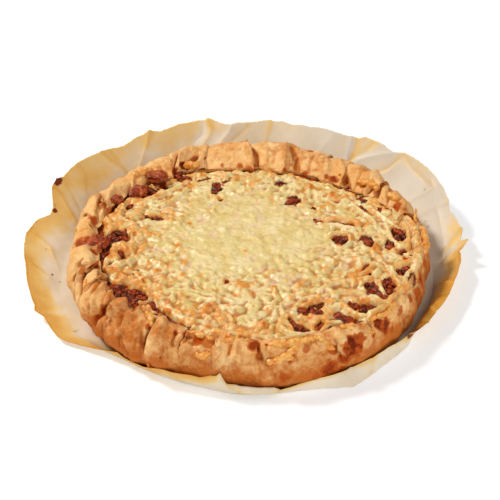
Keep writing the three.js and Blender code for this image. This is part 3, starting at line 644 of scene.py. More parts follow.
def lumps_piece(name: str, blobs: list[Blob], detail: int, dent: float, seed: int) -> Object:
    """Makes many dented balls as one object.

    Args:
        name: The piece's name.
        blobs: Where the lumps lie and how large they are.
        detail: How finely a ball is divided.
        dent: Depth of the dents, as a share of a lump's size.
        seed: Which dents are drawn.
    """
    unit, faces = unit_ball(detail)
    points = []
    for k, blob in enumerate(blobs):
        bump = 1 + dent * layered_noise(unit * 1.7 + 31.0 * k, 1.0, seed, 2)
        x, y, z = (unit * bump[:, None] * np.array(blob.half)).T
        y, z = turned(y, z, -math.radians(blob.tilt))
        x, y = turned(x, y, -math.radians(blob.turn))
        points.append(np.stack([x, y, z], axis=-1) + np.array(blob.centre))
    offsets = np.arange(len(blobs))[:, None, None] * len(unit)
    triangles = (faces[None] + offsets).reshape(-1, 3)
    mesh = bpy.data.meshes.new(name)
    mesh.from_pydata((np.concatenate(points) * MM).tolist(), [], triangles.tolist())
    piece = bpy.data.objects.new(name, mesh)
    bpy.context.scene.collection.objects.link(piece)
    return piece


# ------------------------------------------------------------------ materials


class Graph:
    """A material's nodes, with short ways to add and join them."""

    def __init__(self, tree: Tree) -> None:
        """Starts with an empty tree."""
        self.tree = tree
        tree.nodes.clear()

    def add(self, kind: str, **settings) -> Node:
        """Adds a node and sets its options."""
        node = self.tree.nodes.new(kind)
        for name, value in settings.items():
            setattr(node, name, value)
        return node

    def feed(self, socket: Socket, source) -> None:
        """Gives a socket a number, a colour or another node's output."""
        if isinstance(source, Socket):
            self.tree.links.new(source, socket)
        else:
            socket.default_value = source

    def fill(self, node: Node, sources: dict) -> Socket:
        """Feeds a node's inputs, by their names or numbers, and returns its first output."""
        for socket, source in sources.items():
            self.feed(node.inputs[socket], source)
        return node.outputs[0]

    def maths(self, operation: str, first, second) -> Socket:
        """One sum on two numbers."""
        return self.fill(self.add("ShaderNodeMath", operation=operation), {0: first, 1: second})

    def plus(self, base, extra, weight: float) -> Socket:
        """The first number with a share of the second added."""
        node = self.add("ShaderNodeMath", operation="MULTIPLY_ADD")
        return self.fill(node, {0: extra, 1: weight, 2: base})

    def mix(self, share, first, second) -> Socket:
        """Mixes two colours."""
        node = self.add("ShaderNodeMix", data_type="RGBA")
        self.fill(node, {0: share, 6: first, 7: second})
        return node.outputs[2]

    def spread(self, value, low: float, high: float, to_low: float = 0.0, to_high: float = 1.0):
        """Stretches a range of numbers onto another, smoothly."""
        node = self.add("ShaderNodeMapRange", interpolation_type="SMOOTHSTEP")
        return self.fill(
            node, {"Value": value, "From Min": low, "From Max": high, "To Min": to_low, "To Max": to_high}
        )

    def tint(self, colour, new, amount, low: float, high: float, most: float = 1.0) -> Socket:
        """A colour that gives way to a new one, at most by a share, as an amount goes from low to high."""
        return self.mix(self.spread(amount, low, high, 0.0, most), colour, new)

    def mask(self, name: str) -> Socket:
        """Reads a number that is stored on the piece's points."""
        return self.add("ShaderNodeAttribute", attribute_name=name).outputs["Fac"]

    def group(self, tree: Tree, **values) -> Socket:
        """Places a shared node group, feeds its inputs and returns its output."""
        named = {name.title(): value for name, value in values.items()}
        return self.fill(self.add("ShaderNodeGroup", node_tree=tree), named)


NUMBER = "NodeSocketFloat"
VECTOR = "NodeSocketVector"


def new_group(name: str, numbers: tuple[str, ...], output: str) -> tuple[Graph, dict, Socket]:
    """Starts a shader node group that takes a place and some numbers, and gives one number.

    Returns:
        The group's graph, its inputs by name, and the socket that its result goes to.
    """
    tree = bpy.data.node_groups.new(name, "ShaderNodeTree")
    tree.interface.new_socket("Place", in_out="INPUT", socket_type=VECTOR)
    for number in numbers:
        tree.interface.new_socket(number, in_out="INPUT", socket_type=NUMBER)
    tree.interface.new_socket(output, in_out="OUTPUT", socket_type=NUMBER)
    graph = Graph(tree)
    entry = graph.add("NodeGroupInput")
    leave = graph.add("NodeGroupOutput")
    return graph, {n: entry.outputs[n] for n in ("Place", *numbers)}, leave.inputs[output]


class Effects:
    """Node groups that more than one finish uses."""

    def __init__(self) -> None:
        """Builds each group once."""
        self.mottle = self._mottle()
        self.grain = self._grain()

    @staticmethod
    def _noise(graph: Graph, place, size, detail: float, roughness: float = 0.5) -> Socket:
        """Noise with bumps of a size."""
        node = graph.add("ShaderNodeTexNoise", noise_dimensions="3D")
        scale = graph.maths("DIVIDE", 1.0, size)
        graph.fill(node, {"Vector": place, "Scale": scale, "Detail": detail, "Roughness": roughness})
        return node.outputs["Fac"]

    def _mottle(self) -> Tree:
        """Soft blotches of one size: 0 between them and 1 on them."""
        graph, given, mask = new_group("Mottle", ("Size", "Low", "High"), "Mask")
        noise = self._noise(graph, given["Place"], given["Size"], 3.0, 0.6)
        graph.feed(mask, graph.spread(noise, given["Low"], given["High"]))
        return graph.tree

    def _grain(self) -> Tree:
        """Fine relief in two sizes, as the height that a bump takes."""
        graph, given, height = new_group("Grain", ("Coarse", "Fine", "Pits"), "Height")
        coarse = self._noise(graph, given["Place"], given["Coarse"], 4.0)
        fine = self._noise(graph, given["Place"], given["Fine"], 2.0)
        cells = graph.add("ShaderNodeTexVoronoi", feature="SMOOTH_F1")
        graph.fill(cells, {"Vector": given["Place"], "Scale": graph.maths("DIVIDE", 0.6, given["Fine"])})
        pits = graph.maths("MULTIPLY", graph.spread(cells.outputs["Distance"], 0.0, 0.35), given["Pits"])
        graph.feed(height, graph.maths("ADD", graph.plus(coarse, fine, 0.35), pits))
        return graph.tree


class Slot(Enum):
    """The material slots of the pie's pieces."""

    CRUST = "crust"
    FILLING = "filling"
    CHEESE = "cheese"
    MEAT = "meat"
    PAPER = "paper"


@dataclass(frozen=True)
class Finish:
    """What every finish has: the shared effects, a name, and how its material is put together.

    Its grain is the fine relief: coarse and fine size, how pitted it is, and its depth, all in metres but
    the pits.
    """

    effects: Effects
    name: str = "finish"
    grain: tuple = (0.003, 0.0009, 0.25, 0.0013)

    def colour(self, graph: Graph, place: Socket) -> tuple[Socket, dict]:
        """The finish's colour, and what its shader's other inputs take."""
        raise NotImplementedError

    def blotches(self, graph: Graph, place, size: float, low: float, high: float) -> Socket:
        """Soft blotches of a size in metres."""
        return graph.group(self.effects.mottle, place=place, size=size, low=low, high=high)

    def material(self) -> bpy.types.Material:
        """Builds the material."""
        material = bpy.data.materials.new(self.name)
        material.use_nodes = True
        graph = Graph(material.node_tree)
        shader = graph.add("ShaderNodeBsdfPrincipled")
        output = graph.add("ShaderNodeOutputMaterial")
        place = graph.add("ShaderNodeTexCoord").outputs["Object"]
        colour, others = self.colour(graph, place)
        coarse, fine, pits, depth = self.grain
        height = graph.group(self.effects.grain, place=place, coarse=coarse, fine=fine, pits=pits)
        bump = graph.add("ShaderNodeBump")
        normal = graph.fill(bump, {"Distance": depth, "Strength": 1.0, "Height": height})
        graph.fill(shader, {"Base Color": colour, "Normal": normal, **others})
        graph.feed(output.inputs["Surface"], shader.outputs["BSDF"])
        return material


@dataclass(frozen=True)
class CrustFinish(Finish):
    """Baked shortcrust: matt, golden, browner on its ridges and stained where juice ran, with painted shade
    in its grooves and on its walls that face away from the light.
    """

    name: str = "baked_crust"
    pale: tuple = srgb(239, 202, 147)
    golden: tuple = srgb(222, 162, 94)
    brown: tuple = srgb(188, 106, 38)
    stained: tuple = srgb(188, 86, 16)
    burnt: tuple = srgb(104, 32, 4)

    def colour(self, graph: Graph, place: Socket) -> tuple[Socket, dict]:
        """Golden dough with browned ridges, painted shade in its grooves and on its shaded walls, and
        stains with a burnt middle and ring.
        """
        broad = self.blotches(graph, place, 0.022, 0.25, 0.8)
        small = self.blotches(graph, place, 0.0035, 0.3, 0.75)
        stain = graph.mask("stain")
        colour = graph.mix(broad, self.pale, self.golden)
        colour = graph.mix(graph.maths("MULTIPLY", small, 0.5), colour, self.golden)
        # The browning mask also holds painted shade on the front and right walls and painted light on the
        # left.
        colour = graph.tint(colour, self.brown, graph.plus(graph.mask("bake_and_shade"), small, 0.36), 0.1, 1.1, 0.95)
        # Painted shade in the grooves and creases, towards brown.
        colour = graph.tint(colour, self.brown, graph.mask("groove_shade"), 0.1, 1.0, 0.85)
        colour = graph.tint(colour, self.stained, graph.plus(stain, small, -0.15), 0.0, 0.75, 0.97)
        colour = graph.tint(colour, self.burnt, graph.plus(stain, small, 0.35), 0.8, 1.8, 0.95)
        outer, inner = graph.spread(stain, 0.15, 0.4), graph.spread(stain, 0.45, 0.8, 1.0, 0.0)
        ring = graph.maths("MULTIPLY", graph.maths("MULTIPLY", outer, inner), 0.2)
        colour = graph.mix(ring, colour, self.burnt)
        return colour, {"Roughness": graph.spread(stain, 0.1, 1.0, 0.6, 0.3), "Specular IOR Level": 0.14}


@dataclass(frozen=True)
class CheeseFinish(Finish):
    """Melted cheese: pale yellow, rosy where it is thin, golden with painted shade and fat in its valleys
    and toasted on its lumps.
    """

    name: str = "melted_cheese"
    grain: tuple = (0.0024, 0.0009, 0.2, 0.0008)
    light: tuple = srgb(234, 215, 166)
    deep: tuple = srgb(214, 186, 116)
    rosy: tuple = srgb(224, 194, 158)
    golden: tuple = srgb(188, 118, 38)
    toasted: tuple = srgb(224, 148, 56)
    scorched: tuple = srgb(178, 80, 16)
    soaked: tuple = srgb(122, 46, 12)

    def colour(self, graph: Graph, place: Socket) -> tuple[Socket, dict]:
        """Pale cheese, toasted and scorched on top, and soaked with sauce at the holes."""
        broad = self.blotches(graph, place, 0.014, 0.25, 0.75)
        small = self.blotches(graph, place, 0.0032, 0.36, 0.66)
        toast = graph.plus(graph.mask("toast"), graph.maths("SUBTRACT", small, 0.5), 0.3)
        colour = graph.mix(broad, self.light, self.deep)
        colour = graph.mix(graph.maths("MULTIPLY", small, 0.35), colour, self.deep)
        colour = graph.tint(colour, self.rosy, graph.mask("thin"), 0.05, 0.9, 0.8)
        # Painted shade, partly fat: the valleys and crevices turn golden.
        colour = graph.tint(colour, self.golden, graph.mask("valley_shade_and_fat"), 0.1, 1.0, 0.85)
        # The toast mask also holds painted shade from the valleys near the rim.
        colour = graph.tint(colour, self.toasted, toast, 0.0, 1.0, 0.95)
        colour = graph.tint(colour, self.scorched, toast, 0.8, 1.4, 0.8)
        colour = graph.tint(colour, self.soaked, graph.mask("brink"), 0.0, 0.8, 0.9)
        return colour, {
            "Roughness": graph.spread(small, 0.0, 1.0, 0.16, 0.32),
            "Specular IOR Level": 0.42,
            "Coat Weight": 0.2,
            "Coat Roughness": 0.22,
            "Subsurface Weight": 0.22,
            "Subsurface Radius": (1.0, 0.6, 0.25),
            "Subsurface Scale": 0.0008,
        }


@dataclass(frozen=True)
class MeatFinish(Finish):
    """Browned meat in sauce: dark red-brown and wet."""

    name: str = "meat"
    grain: tuple = (0.002, 0.0007, 0.3, 0.0006)
    dark: tuple = srgb(80, 28, 12)
    red: tuple = srgb(164, 64, 24)
    fat: tuple = srgb(214, 128, 64)
    shine: float = 0.26

    def colour(self, graph: Graph, place: Socket) -> tuple[Socket, dict]:
        """Dark and red meat with specks of fat."""
        broad = self.blotches(graph, place, 0.005, 0.38, 0.64)
        small = self.blotches(graph, place, 0.0022, 0.5, 0.75)
        colour = graph.mix(broad, self.dark, self.red)
        colour = graph.mix(graph.maths("MULTIPLY", small, 0.55), colour, self.fat)
        rough = graph.spread(small, 0.0, 1.0, self.shine, self.shine + 0.2)
        return colour, {"Roughness": rough, "Specular IOR Level": 0.3}


@dataclass(frozen=True)
class PaperFinish(Finish):
    """Baking parchment: cream and faintly streaked, browned towards its edge and scorched in spots."""

    name: str = "baking_paper"
    grain: tuple = (0.004, 0.0006, 0.0, 0.0002)
    cream: tuple = srgb(226, 212, 190)
    grey: tuple = srgb(214, 198, 172)
    golden: tuple = srgb(222, 184, 112)
    brown: tuple = srgb(204, 144, 54)
    scorch: tuple = srgb(118, 50, 20)
    right_side_shade: tuple = srgb(192, 182, 168)

    def colour(self, graph: Graph, place: Socket) -> tuple[Socket, dict]:
        """Cream paper, greyed by painted shade on its right side, golden and then brown towards the edge.
        """
        broad = self.blotches(graph, place, 0.035, 0.35, 0.68)
        small = self.blotches(graph, place, 0.006, 0.35, 0.7)
        brown = graph.plus(graph.mask("brown"), graph.maths("SUBTRACT", small, 0.5), 0.08)
        colour = graph.mix(broad, self.cream, self.grey)
        # Painted shade greys the right side of the sheet.
        colour = graph.tint(colour, self.right_side_shade, graph.mask("right_side_shade"), 0.0, 1.0, 0.55)
        colour = graph.tint(colour, self.golden, brown, 0.0, 0.65, 0.95)
        colour = graph.tint(colour, self.brown, brown, 0.5, 1.25, 0.95)
        colour = graph.tint(colour, self.scorch, graph.mask("scorch"), 0.2, 0.9)
        return colour, {"Roughness": 0.5, "Specular IOR Level": 0.25}


# ------------------------------------------------------------------ pieces


@dataclass
class Piece:
    """What every part of the pie has: a slot, a finish, and the solids that it stands for."""

    finish: Finish
    slot: Slot
    nodes: tuple[str, ...] = ()

    def hand_over(self, piece: Object) -> None:
        """Gives a finished mesh its material and its body, and hides the solids that it stands for."""
        pick_only(piece)
        bpy.ops.object.shade_smooth()
        piece.data.materials.clear()
        piece.data.materials.append(self.finish.material())
        if self.nodes:
            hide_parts(*self.nodes)
        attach(piece, "root")
        LOG.info("%s: %d faces", piece.name, len(piece.data.polygons))


@dataclass(frozen=True)
class Spot:
    """A spot on a surface: azimuth, radius, height, size and strength."""

    azimuth: float
    radius: float
    height: float
    size: float
    strength: float = 1.0

    def distance(self, points: Array) -> Array:
        """How far points lie from the spot, counted in its sizes."""
        centre = polar(self.azimuth, self.radius, self.height)
        return np.linalg.norm(points - centre, axis=-1) / self.size


def spotted(points: Array, spots: tuple[Spot, ...], ragged: float, seed: int) -> Array:
    """How strongly each point is covered by spots with ragged edges."""
    rough = layered_noise(points, 3.5, seed, 3)
    cover = np.zeros(points.shape[:-1])
    for spot in spots:
        inside = 1 - spot.distance(points) + ragged * rough
        cover = np.maximum(cover, spot.strength * smooth_step(inside, -0.3, 0.55))
    return cover


def dented(points: Array, spots: tuple[Spot, ...]) -> Array:
    """How far each point is pushed out (or in) by rounded bumps and dents."""
    push = np.zeros(points.shape[:-1])
    for spot in spots:
        push += spot.strength * bell(spot.distance(points), 1.0)
    return push


def line_distance(x: Array, y: Array, line: list) -> Pair:
    """Distance from each point to a line of straight parts, and on which side of it the point is.

    Args:
        x: First coordinates of the points.
        y: Second coordinates of the points.
        line: The line's corners.

    Returns:
        The distance, and the signed distance aside, positive towards rising x for a line of rising y.
    """
    best = np.full(np.broadcast(x, y).shape, 1e9)
    side = np.zeros(best.shape)
    for (ax, ay), (bx, by) in zip(line, line[1:]):
        length = max(math.hypot(bx - ax, by - ay), 1e-6)
        ux, uy = (bx - ax) / length, (by - ay) / length
        along_part = np.clip((x - ax) * ux + (y - ay) * uy, 0, length)
        away = np.hypot(x - ax - along_part * ux, y - ay - along_part * uy)
        aside = (x - ax) * uy - (y - ay) * ux
        nearer = away < best
        best = np.where(nearer, away, best)
        side = np.where(nearer, aside, side)
    return best, side


@dataclass(frozen=True)
class Wrinkle:
    """A run of fine wrinkles across the rim: middle, half width, depth and the distance between them."""

    at: float
    half: float
    depth: float
    spacing: float


@dataclass(frozen=True)
class Fold:
    """A fold in the dough along a line of azimuths and millimetres down from the lip.

    The dough stands out by rise on the line, and by step more after it than before it.
    """

    line: tuple[tuple[float, float], ...]
    width: float
    rise: float = 0.0
    step: float = 0.0


FOLDS = each(
    Fold,
    (((38, 4), (37.8, 13), (39.1, 26)), 3.5, 0.8, -2.4),
    (((35.9, 2), (35.3, 6), (35.8, 11)), 1.6, -2.4),
    (((46, 0), (47.2, 3), (49, 9)), 2.6, -4),
    (((49, 9), (49.6, 13), (51.4, 22)), 3, 0, 1.4),
    (((56.6, 0), (56.7, 11), (58.1, 21)), 2.4, 1.6, -1),
    (((68.3, 2), (70.4, 13), (73.6, 24)), 2.8, -1.8, 0.8),
    (((75, 3), (75.5, 11), (75.7, 18), (75.6, 27)), 2.2, 2, -0.6),
    (((89, 2), (88.5, 12), (89.5, 21)), 2.2, -2, 0.6),
    (((91.3, 7), (91.6, 17), (92.1, 26)), 2.4, 1.8, -0.6),
    (((110.7, 1), (109.1, 4), (107.6, 11), (107.7, 15)), 1.5, 1.8, -0.8),
    (((112.8, 2), (111.3, 6), (109.2, 12)), 2.4, -3.4),
    (((115.4, 5), (115.1, 10), (114.7, 20)), 3.4, 1.8),
    (((118.3, 6), (118.2, 11), (117.7, 19)), 1.5, -2),
    (((119.2, 5), (120.8, 12), (119.4, 25)), 2.8, 1.4),
    (((145, 6), (146.4, 10), (149.2, 14), (153.9, 11)), 3.8, 1.7),
    (((154.6, 21), (159.1, 10), (161, 5), (164.2, 3)), 3.2, 0.6, 3.2),
    (((141.5, 2), (140.9, 6), (139.2, 11)), 1.8, 1.6),
    (((194.8, 18), (196.2, 25), (197.8, 34)), 1.6, -1.7),
    (((201, 7), (199.8, 12), (196.6, 21)), 2, -1.4, -1),
    (((201.4, 19), (203.4, 26), (206.2, 34)), 2, -2),
    (((203.1, 9), (203.1, 18), (204.6, 22)), 2.6, 0, 2),
    (((205.2, 6), (208.2, 13), (207.3, 20)), 2.6, 0, -2.2),
    (((213.2, 9), (213.6, 17), (215.2, 26), (216.3, 34)), 2.3, 2),
    (((210.5, 8), (210.8, 16), (211.8, 25)), 2, -1.4),
    (((217.6, 8), (219.3, 15), (221.2, 17)), 2, 1.5),
    (((215.4, 8), (216.6, 15), (218.4, 21)), 1.6, -1.2),
    (((221.6, 17), (219.2, 23), (218.7, 29), (218.2, 38)), 2.3, -3.6),
    (((226, 10), (224.1, 20), (221.1, 29), (219.5, 40)), 2.6, 2.8, -0.6),
    (((231, 11), (231.4, 16), (230.5, 19)), 1.3, -2.6),
    (((227.9, 18), (229.4, 28), (233, 47)), 2.2, -1.8),
    (((229.4, 22), (232, 39), (235.1, 47)), 2.2, 1.8),
    (((232.2, 12), (231.2, 23), (228.7, 28)), 2, 2.2, -0.4),
    (((235.5, 14), (236, 24), (236.8, 34)), 2.2, -1),
    (((242.1, 13), (242.4, 24), (242.1, 36), (240.5, 46)), 2.7, 3, 0.6),
    (((241.4, 12), (239.6, 18), (239.1, 26), (238.6, 36)), 2.3, -2.4),
    (((247.3, 15), (247.2, 21), (247.3, 26)), 1, -1.6),
    (((248.9, 13), (248.2, 24)), 1.1, 1.2),
    (((250.4, 12), (249.5, 22), (249.7, 27)), 1.1, -1.5),
    (((252.8, 14), (251.7, 20), (249.6, 28)), 2.2, 1.5),
    (((252.3, 13), (255, 12), (258.1, 13)), 4.2, -2.2),
    (((260.4, 13), (260.2, 20)), 1.1, -1.2),
    (((261.6, 13), (261.2, 21)), 1.6, 1.4),
    (((264.9, 12), (264.3, 20)), 1.5, -1.5),
    (((266.5, 11), (266.4, 19)), 1.8, 1.4),
    (((273, 10), (273, 16), (273.7, 21)), 1.6, -2.6),
    (((274.8, 11), (274.6, 16), (274.9, 21)), 1.3, 1.4),
    (((286, 14), (291, 16)), 3, 0.8),
    (((297.7, 13), (298.8, 18), (299.6, 23), (298.3, 27)), 2.2, 1.8),
    (((300.4, 14), (301.2, 20), (300.9, 26)), 1.5, -1.4),
    (((311.2, 13), (314.3, 21)), 2.4, -1),
    (((5, 3), (11, 12)), 2, -1.8),
    (((15, 5), (17, 12), (20, 14)), 2, 1.8),
    (((25, 4), (27, 14), (30, 24)), 2.4, -1.2),
    (((31.5, 3), (32, 14), (34.5, 26)), 2.4, -1.6, 0.8),
    (((43, 2), (44, 12), (44.5, 24)), 3, 1.2),
    (((63.5, 2), (64.5, 12), (64, 22)), 2, -1),
    (((80.5, 6), (80, 18)), 1.4, -0.9),
    (((84, 4), (83.6, 18)), 1.8, 0.9),
    (((126.5, 4), (126, 16)), 2.6, -1),
    (((134, 10), (133, 20)), 2, 1.2),
    (((171, 4), (169.5, 14), (168, 22)), 2.2, -1.2),
    (((178, 4), (177, 14), (175, 24)), 2.2, 1.2),
    (((189.5, 8), (190, 16), (191.5, 26)), 2.4, 1.4),
)


@dataclass
class Crust(Piece):
    """The pastry shell, wrapped from a grid round its profile, with its pleats folded over each other.

    A row of wall holds a radius, a height, the share of the overhang that reaches it and its creases'
    swing. Fullness says how far each row stands out where the foot is full, and follow how much of the
    wall's shift the rim's rows take. The hidden rows of base and inside are radii and heights.
    """

    rim: Rim = field(default_factory=Rim)
    column_step: float = 0.85
    crease_step: float = 0.4
    rows_per_span: int = 10
    fold_half: float = 1.6
    fold_reach: float = 14
    wall: tuple = (
        (127.5, 1.15, 0.0, -0.5),
        (132.3, 4.0, 0.15, -0.48),
        (138.0, 13.0, 0.55, -0.38),
        (137.4, 21.5, 0.85, -0.25),
        (134.2, 28.0, 1.0, -0.15),
    )
    fullness: tuple = (3.8, 4.0, 0.6, 0, 0)
    follow: tuple = (0.8, 0.5, 0.2, 0)
    base: tuple = ((0.0, 1.15), (110.0, 1.15))
    inside: tuple = ((127.0, 29.6), (132.4, 18.0), (129.6, 5.15), (110.0, 5.15), (0.0, 5.15))
    wrinkles: tuple = each(
        Wrinkle,
        (98.5, 6, 0.55, 3.4), (247.5, 4.5, 0.75, 3.2), (215, 8, 0.5, 6.5), (64, 6, 0.3, 4.5),
        (169, 7, 0.7, 5.2), (29, 6, 0.6, 4.2), (196, 5, 0.5, 4.5), (235, 4, 0.4, 3.6), (290, 8, 0.35, 6),
        (86, 4, 0.3, 4), (38, 4, 0.5, 3.2),
    )
    dents: tuple = each(
        Spot,
        (66, 124, 37, 2.6, 1), (148, 120, 37, 8, 1.4), (254, 126, 35, 4, -1), (184.5, 121, 34, 6, -2.2),
        (11, 125, 33, 3, -2), (156.3, 125, 35, 4.2, -5.5), (160.5, 127, 40, 3.4, 2.6),
    )
    stains: tuple = each(
        Spot,
        (220.8, 131.5, 30.5, 4.6, 1.7), (218.6, 136.5, 23.5, 3.2, 1.3), (237.8, 127, 35, 3.2, 0.75),
        (247, 126.3, 36, 1.8, 1.6), (249.2, 125, 35.5, 2.6, 0.9), (254.5, 126, 34.5, 6, 0.85),
        (271.8, 127.5, 34, 4, 1.2), (275.3, 128, 34.6, 1.2, 1.6), (244.5, 138, 22, 0.9, 1.5),
        (279.6, 138.2, 15.5, 4.6, 0.85), (300.8, 136.6, 25, 8.6, 1.4), (303.6, 135.4, 28, 4.6, 1.1),
        (298.3, 138, 18.5, 5.4, 1.2), (293.5, 137.8, 13, 7.5, 1.2), (297.2, 137, 10.5, 5, 0.9),
        (289, 137.6, 12, 4, 0.7), (314.6, 135.6, 27, 5.6, 1.4), (311.6, 133.6, 30.5, 4.2, 1.4),
        (316.5, 137.2, 21.5, 3, 0.7), (276.2, 137, 27.6, 3.6, 0.7), (282.4, 136.4, 28.2, 3.8, 0.75),
        (287, 134, 32, 3.4, 0.6), (295, 135.6, 26.6, 3.4, 0.9), (257.4, 137.2, 28.6, 3.2, 0.75),
        (308.6, 135.4, 27, 3.6, 0.8), (242, 138, 23.6, 2.6, 0.5), (322, 134.4, 28.5, 4, 0.75),
        (350, 134, 26.5, 5, 0.7), (335, 136.2, 24, 6, 0.85), (341, 134.8, 27, 7, 0.8),
        (329, 134.5, 29, 3.6, 0.9), (48.5, 103, 34.5, 4, 1.3), (45.5, 126, 37.5, 2.2, 0.6),
        (42, 125, 38, 2, 0.7), (66, 123.5, 37.5, 2.6, 0.8), (53, 101, 34, 2.6, 0.8), (63, 99, 33, 3.2, 0.8),
        (72, 97, 33.5, 3, 0.8), (36.5, 112, 34, 2.4, 1.2), (31, 116, 35, 4, 0.6), (18, 121, 35, 4.5, 0.9),
        (11.5, 125, 33, 3.5, 1.7), (118.5, 112, 35, 3, 1.7), (109, 113, 35.5, 2.4, 1),
        (161, 119, 35.5, 4, 1.2), (156, 127, 38, 4, 0.6), (171, 119, 35.5, 4, 0.9),
        (176, 119, 35.5, 3, 1.3), (184.5, 121, 34, 8, 1.2), (191, 116, 34, 4, 0.9),
        (199.5, 116, 34, 2.6, 1.3), (203, 116, 34, 3, 0.8), (229.8, 121, 34.5, 2.6, 1.5),
        (240, 113, 34.5, 2.6, 1.4), (94, 98, 33.5, 2.8, 0.7), (87, 99, 33.5, 2.4, 0.8),
        (102, 101, 33.5, 2.2, 0.7), (123, 107, 34.5, 4, 1.4),
    )

    def azimuths(self) -> Array:
        """Azimuths of the grid's columns, close together near a crease."""
        step = 0.02
        fine = np.arange(0, 360, step)
        _, past = self.rim.nearest_crease(fine)
        near = np.exp(-((past / 2.7) ** 4))
        density = 1 / self.column_step + (1 / self.crease_step - 1 / self.column_step) * near
        total = np.cumsum(density) * math.radians(step) * RIM_RADIUS
        count = int(total[-1])
        return np.interp(np.arange(count) * total[-1] / count, total, fine)

    def pleated(self, azimuth: Array) -> tuple[RimState, Array]:
        """The rim's state with wrinkles and rounded edges, and how far each column slides at its fold."""
        rim = self.rim.state(azimuth)
        crease, past = self.rim.nearest_crease(azimuth)
        jump = self.rim.jump(crease)
        side = np.sign(jump) * past
        weight = np.minimum(1, np.abs(jump) / 2)
        rim.proud = rim.proud - 0.8 * weight * bell(side + 1.7, 1.2)
        rim.proud = rim.proud + 0.4 * weight * bell(side - 2.0, 1.7)
        arc = np.radians(azimuth) * RIM_RADIUS
        for k, wrinkle in enumerate(self.wrinkles):
            window = smooth_step(1 - np.abs(gap_from(azimuth, wrinkle.at)) / wrinkle.half, 0, 0.6)
            wander = 1.6 * pattern(5, arc / 7, z=k)
            wave = np.sin(2 * np.pi * arc / wrinkle.spacing + wander)
            rim.proud = rim.proud + wrinkle.depth * window * wave
        reach = np.clip(0.9 + 0.8 * np.abs(jump), 0, 3.4)
        bend = past / self.fold_half
        slide = -np.sign(jump) * reach * bend * np.exp(0.5 * (1 - bend**2))
        return rim, slide

    def control_rows(self, azimuth: Array, rim: RimState) -> tuple[Array, ...]:
        """Radius, height, share of the overlap and swing of the visible profile's control points."""
        reach = round_table(PLEAT_REACH, azimuth)
        whole = 0 * rim.proud
        rows = []
        shift = round_table(WALL_SHIFT, azimuth)
        foot = round_table(FOOT, azimuth)
        for k, (radius, height, share, turn) in enumerate(self.wall):
            part = share * blend(share**6, 1.0, reach)
            fuller = foot * self.fullness[k]
            rows.append((radius + shift + fuller + part * rim.proud, whole + height, part, whole + turn))
        for k, (radius, height, turn) in enumerate(self.rim.rows(rim)):
            rows.append((radius + shift * self.follow[k], height, whole + 1.0, whole + turn))
        rows.append((rim.lip, rim.lip_height - 1.9, whole + 1.0, whole + 1.0))
        rows.append((rim.lip + 1.5, whole + self.rim.underside, whole + 0.8, whole + 1.0))
        return tuple(np.stack([row[i] for row in rows], axis=-1) for i in range(4))

    def build(self) -> None:
        """Makes the crust."""
        azimuth = self.azimuths()
        rim, slide = self.pleated(azimuth)
        controls = self.control_rows(azimuth, rim)
        spans = controls[0].shape[-1] - 1
        t = np.linspace(0, spans, spans * self.rows_per_span + 1)
        radius, height, share, turn = (spline(line, t) for line in controls)
        swing = rim.lean[:, None] * turn + np.degrees(slide[:, None] * share / RIM_RADIUS)
        outside = polar(azimuth[:, None] + swing, radius, height)
        before, after = (
            np.stack([polar(azimuth, r, z) for r, z in rows], axis=1) for rows in (self.base, self.inside)
        )
        points = np.concatenate([before, outside, after], axis=1)
        visible = slice(len(self.base), -len(self.inside))
        edge = np.zeros(points.shape[:2])
        edge[:, visible] = smooth_step(height, 1.2, 9)
        push = np.zeros(points.shape[:2])
        push[:, visible] = self.folded(azimuth, outside) * smooth_step(height, 1.2, 7)
        points = points + (push + self.relief(points, edge))[..., None] * self.normals(points)
        masks = self.masks(azimuth, points, edge, rim, push)
        masks = {name: np.concatenate([mask, mask[:1]]) for name, mask in masks.items()}
        piece = grid_piece("crust_baked", np.concatenate([points, points[:1]]), masks)
        edit(piece, weld, face_outwards)
        self.hand_over(piece)

    def folded(self, azimuth: Array, outside: Array) -> Array:
        """How far the traced folds push out each point of the visible profile."""
        # The lip is the first row after those of the wall and the rim.
        lip = self.rows_per_span * (len(self.wall) + len(self.follow))
        step = np.linalg.norm(np.diff(outside, axis=1), axis=-1)
        length = np.concatenate([np.zeros((len(outside), 1)), np.cumsum(step, axis=1)], axis=1)
        down = length[:, lip : lip + 1] - length
        push = np.zeros(down.shape)
        for fold in FOLDS:
            middle = sum(at for at, _ in fold.line) / len(fold.line)
            gap = gap_from(azimuth, middle)
            near = np.flatnonzero(np.abs(gap) < self.fold_reach)
            arc = np.radians(gap[near])[:, None] * RIM_RADIUS
            line = [(math.radians(at - middle) * RIM_RADIUS, depth) for at, depth in fold.line]
            away, aside = line_distance(arc, down[near], line)
            ridge = fold.rise * bell(away, fold.width)
            ledge = 0.5 * fold.step * np.tanh(aside / 1.1) * bell(away, 2.2 * fold.width)
            push[near] += 1.6 * (ridge + ledge)
        return push

    def normals(self, points: Array) -> Array:
        """The direction in which the surface faces at each point of the closed grid."""
        around = np.roll(points, -1, axis=0) - np.roll(points, 1, axis=0)
        across = np.gradient(points, axis=1)
        normal = np.cross(around, across)
        return normal / np.maximum(np.linalg.norm(normal, axis=-1, keepdims=True), 1e-9)

    def relief(self, points: Array, edge: Array) -> Array:
        """How far the dough stands out or in: broad swellings, small ones, and the dents of the photo."""
        broad = 1.8 * layered_noise(points, 16.0, 21, 2)
        small = 0.42 * layered_noise(points, 5.4, 31, 3)
        azimuth = np.arctan2(points[..., 1], points[..., 0])
        upright = pattern(37, azimuth * RIM_RADIUS / 4.2, points[..., 2] / 16)
        gathers = 0.38 * (0.35 - np.abs(upright)) * smooth_step(points[..., 2], 16, 30)
        swell = broad + small + gathers
        return (0.35 + 0.65 * edge) * (edge > 0) * swell + dented(points, self.dents) * (edge > 0.02)

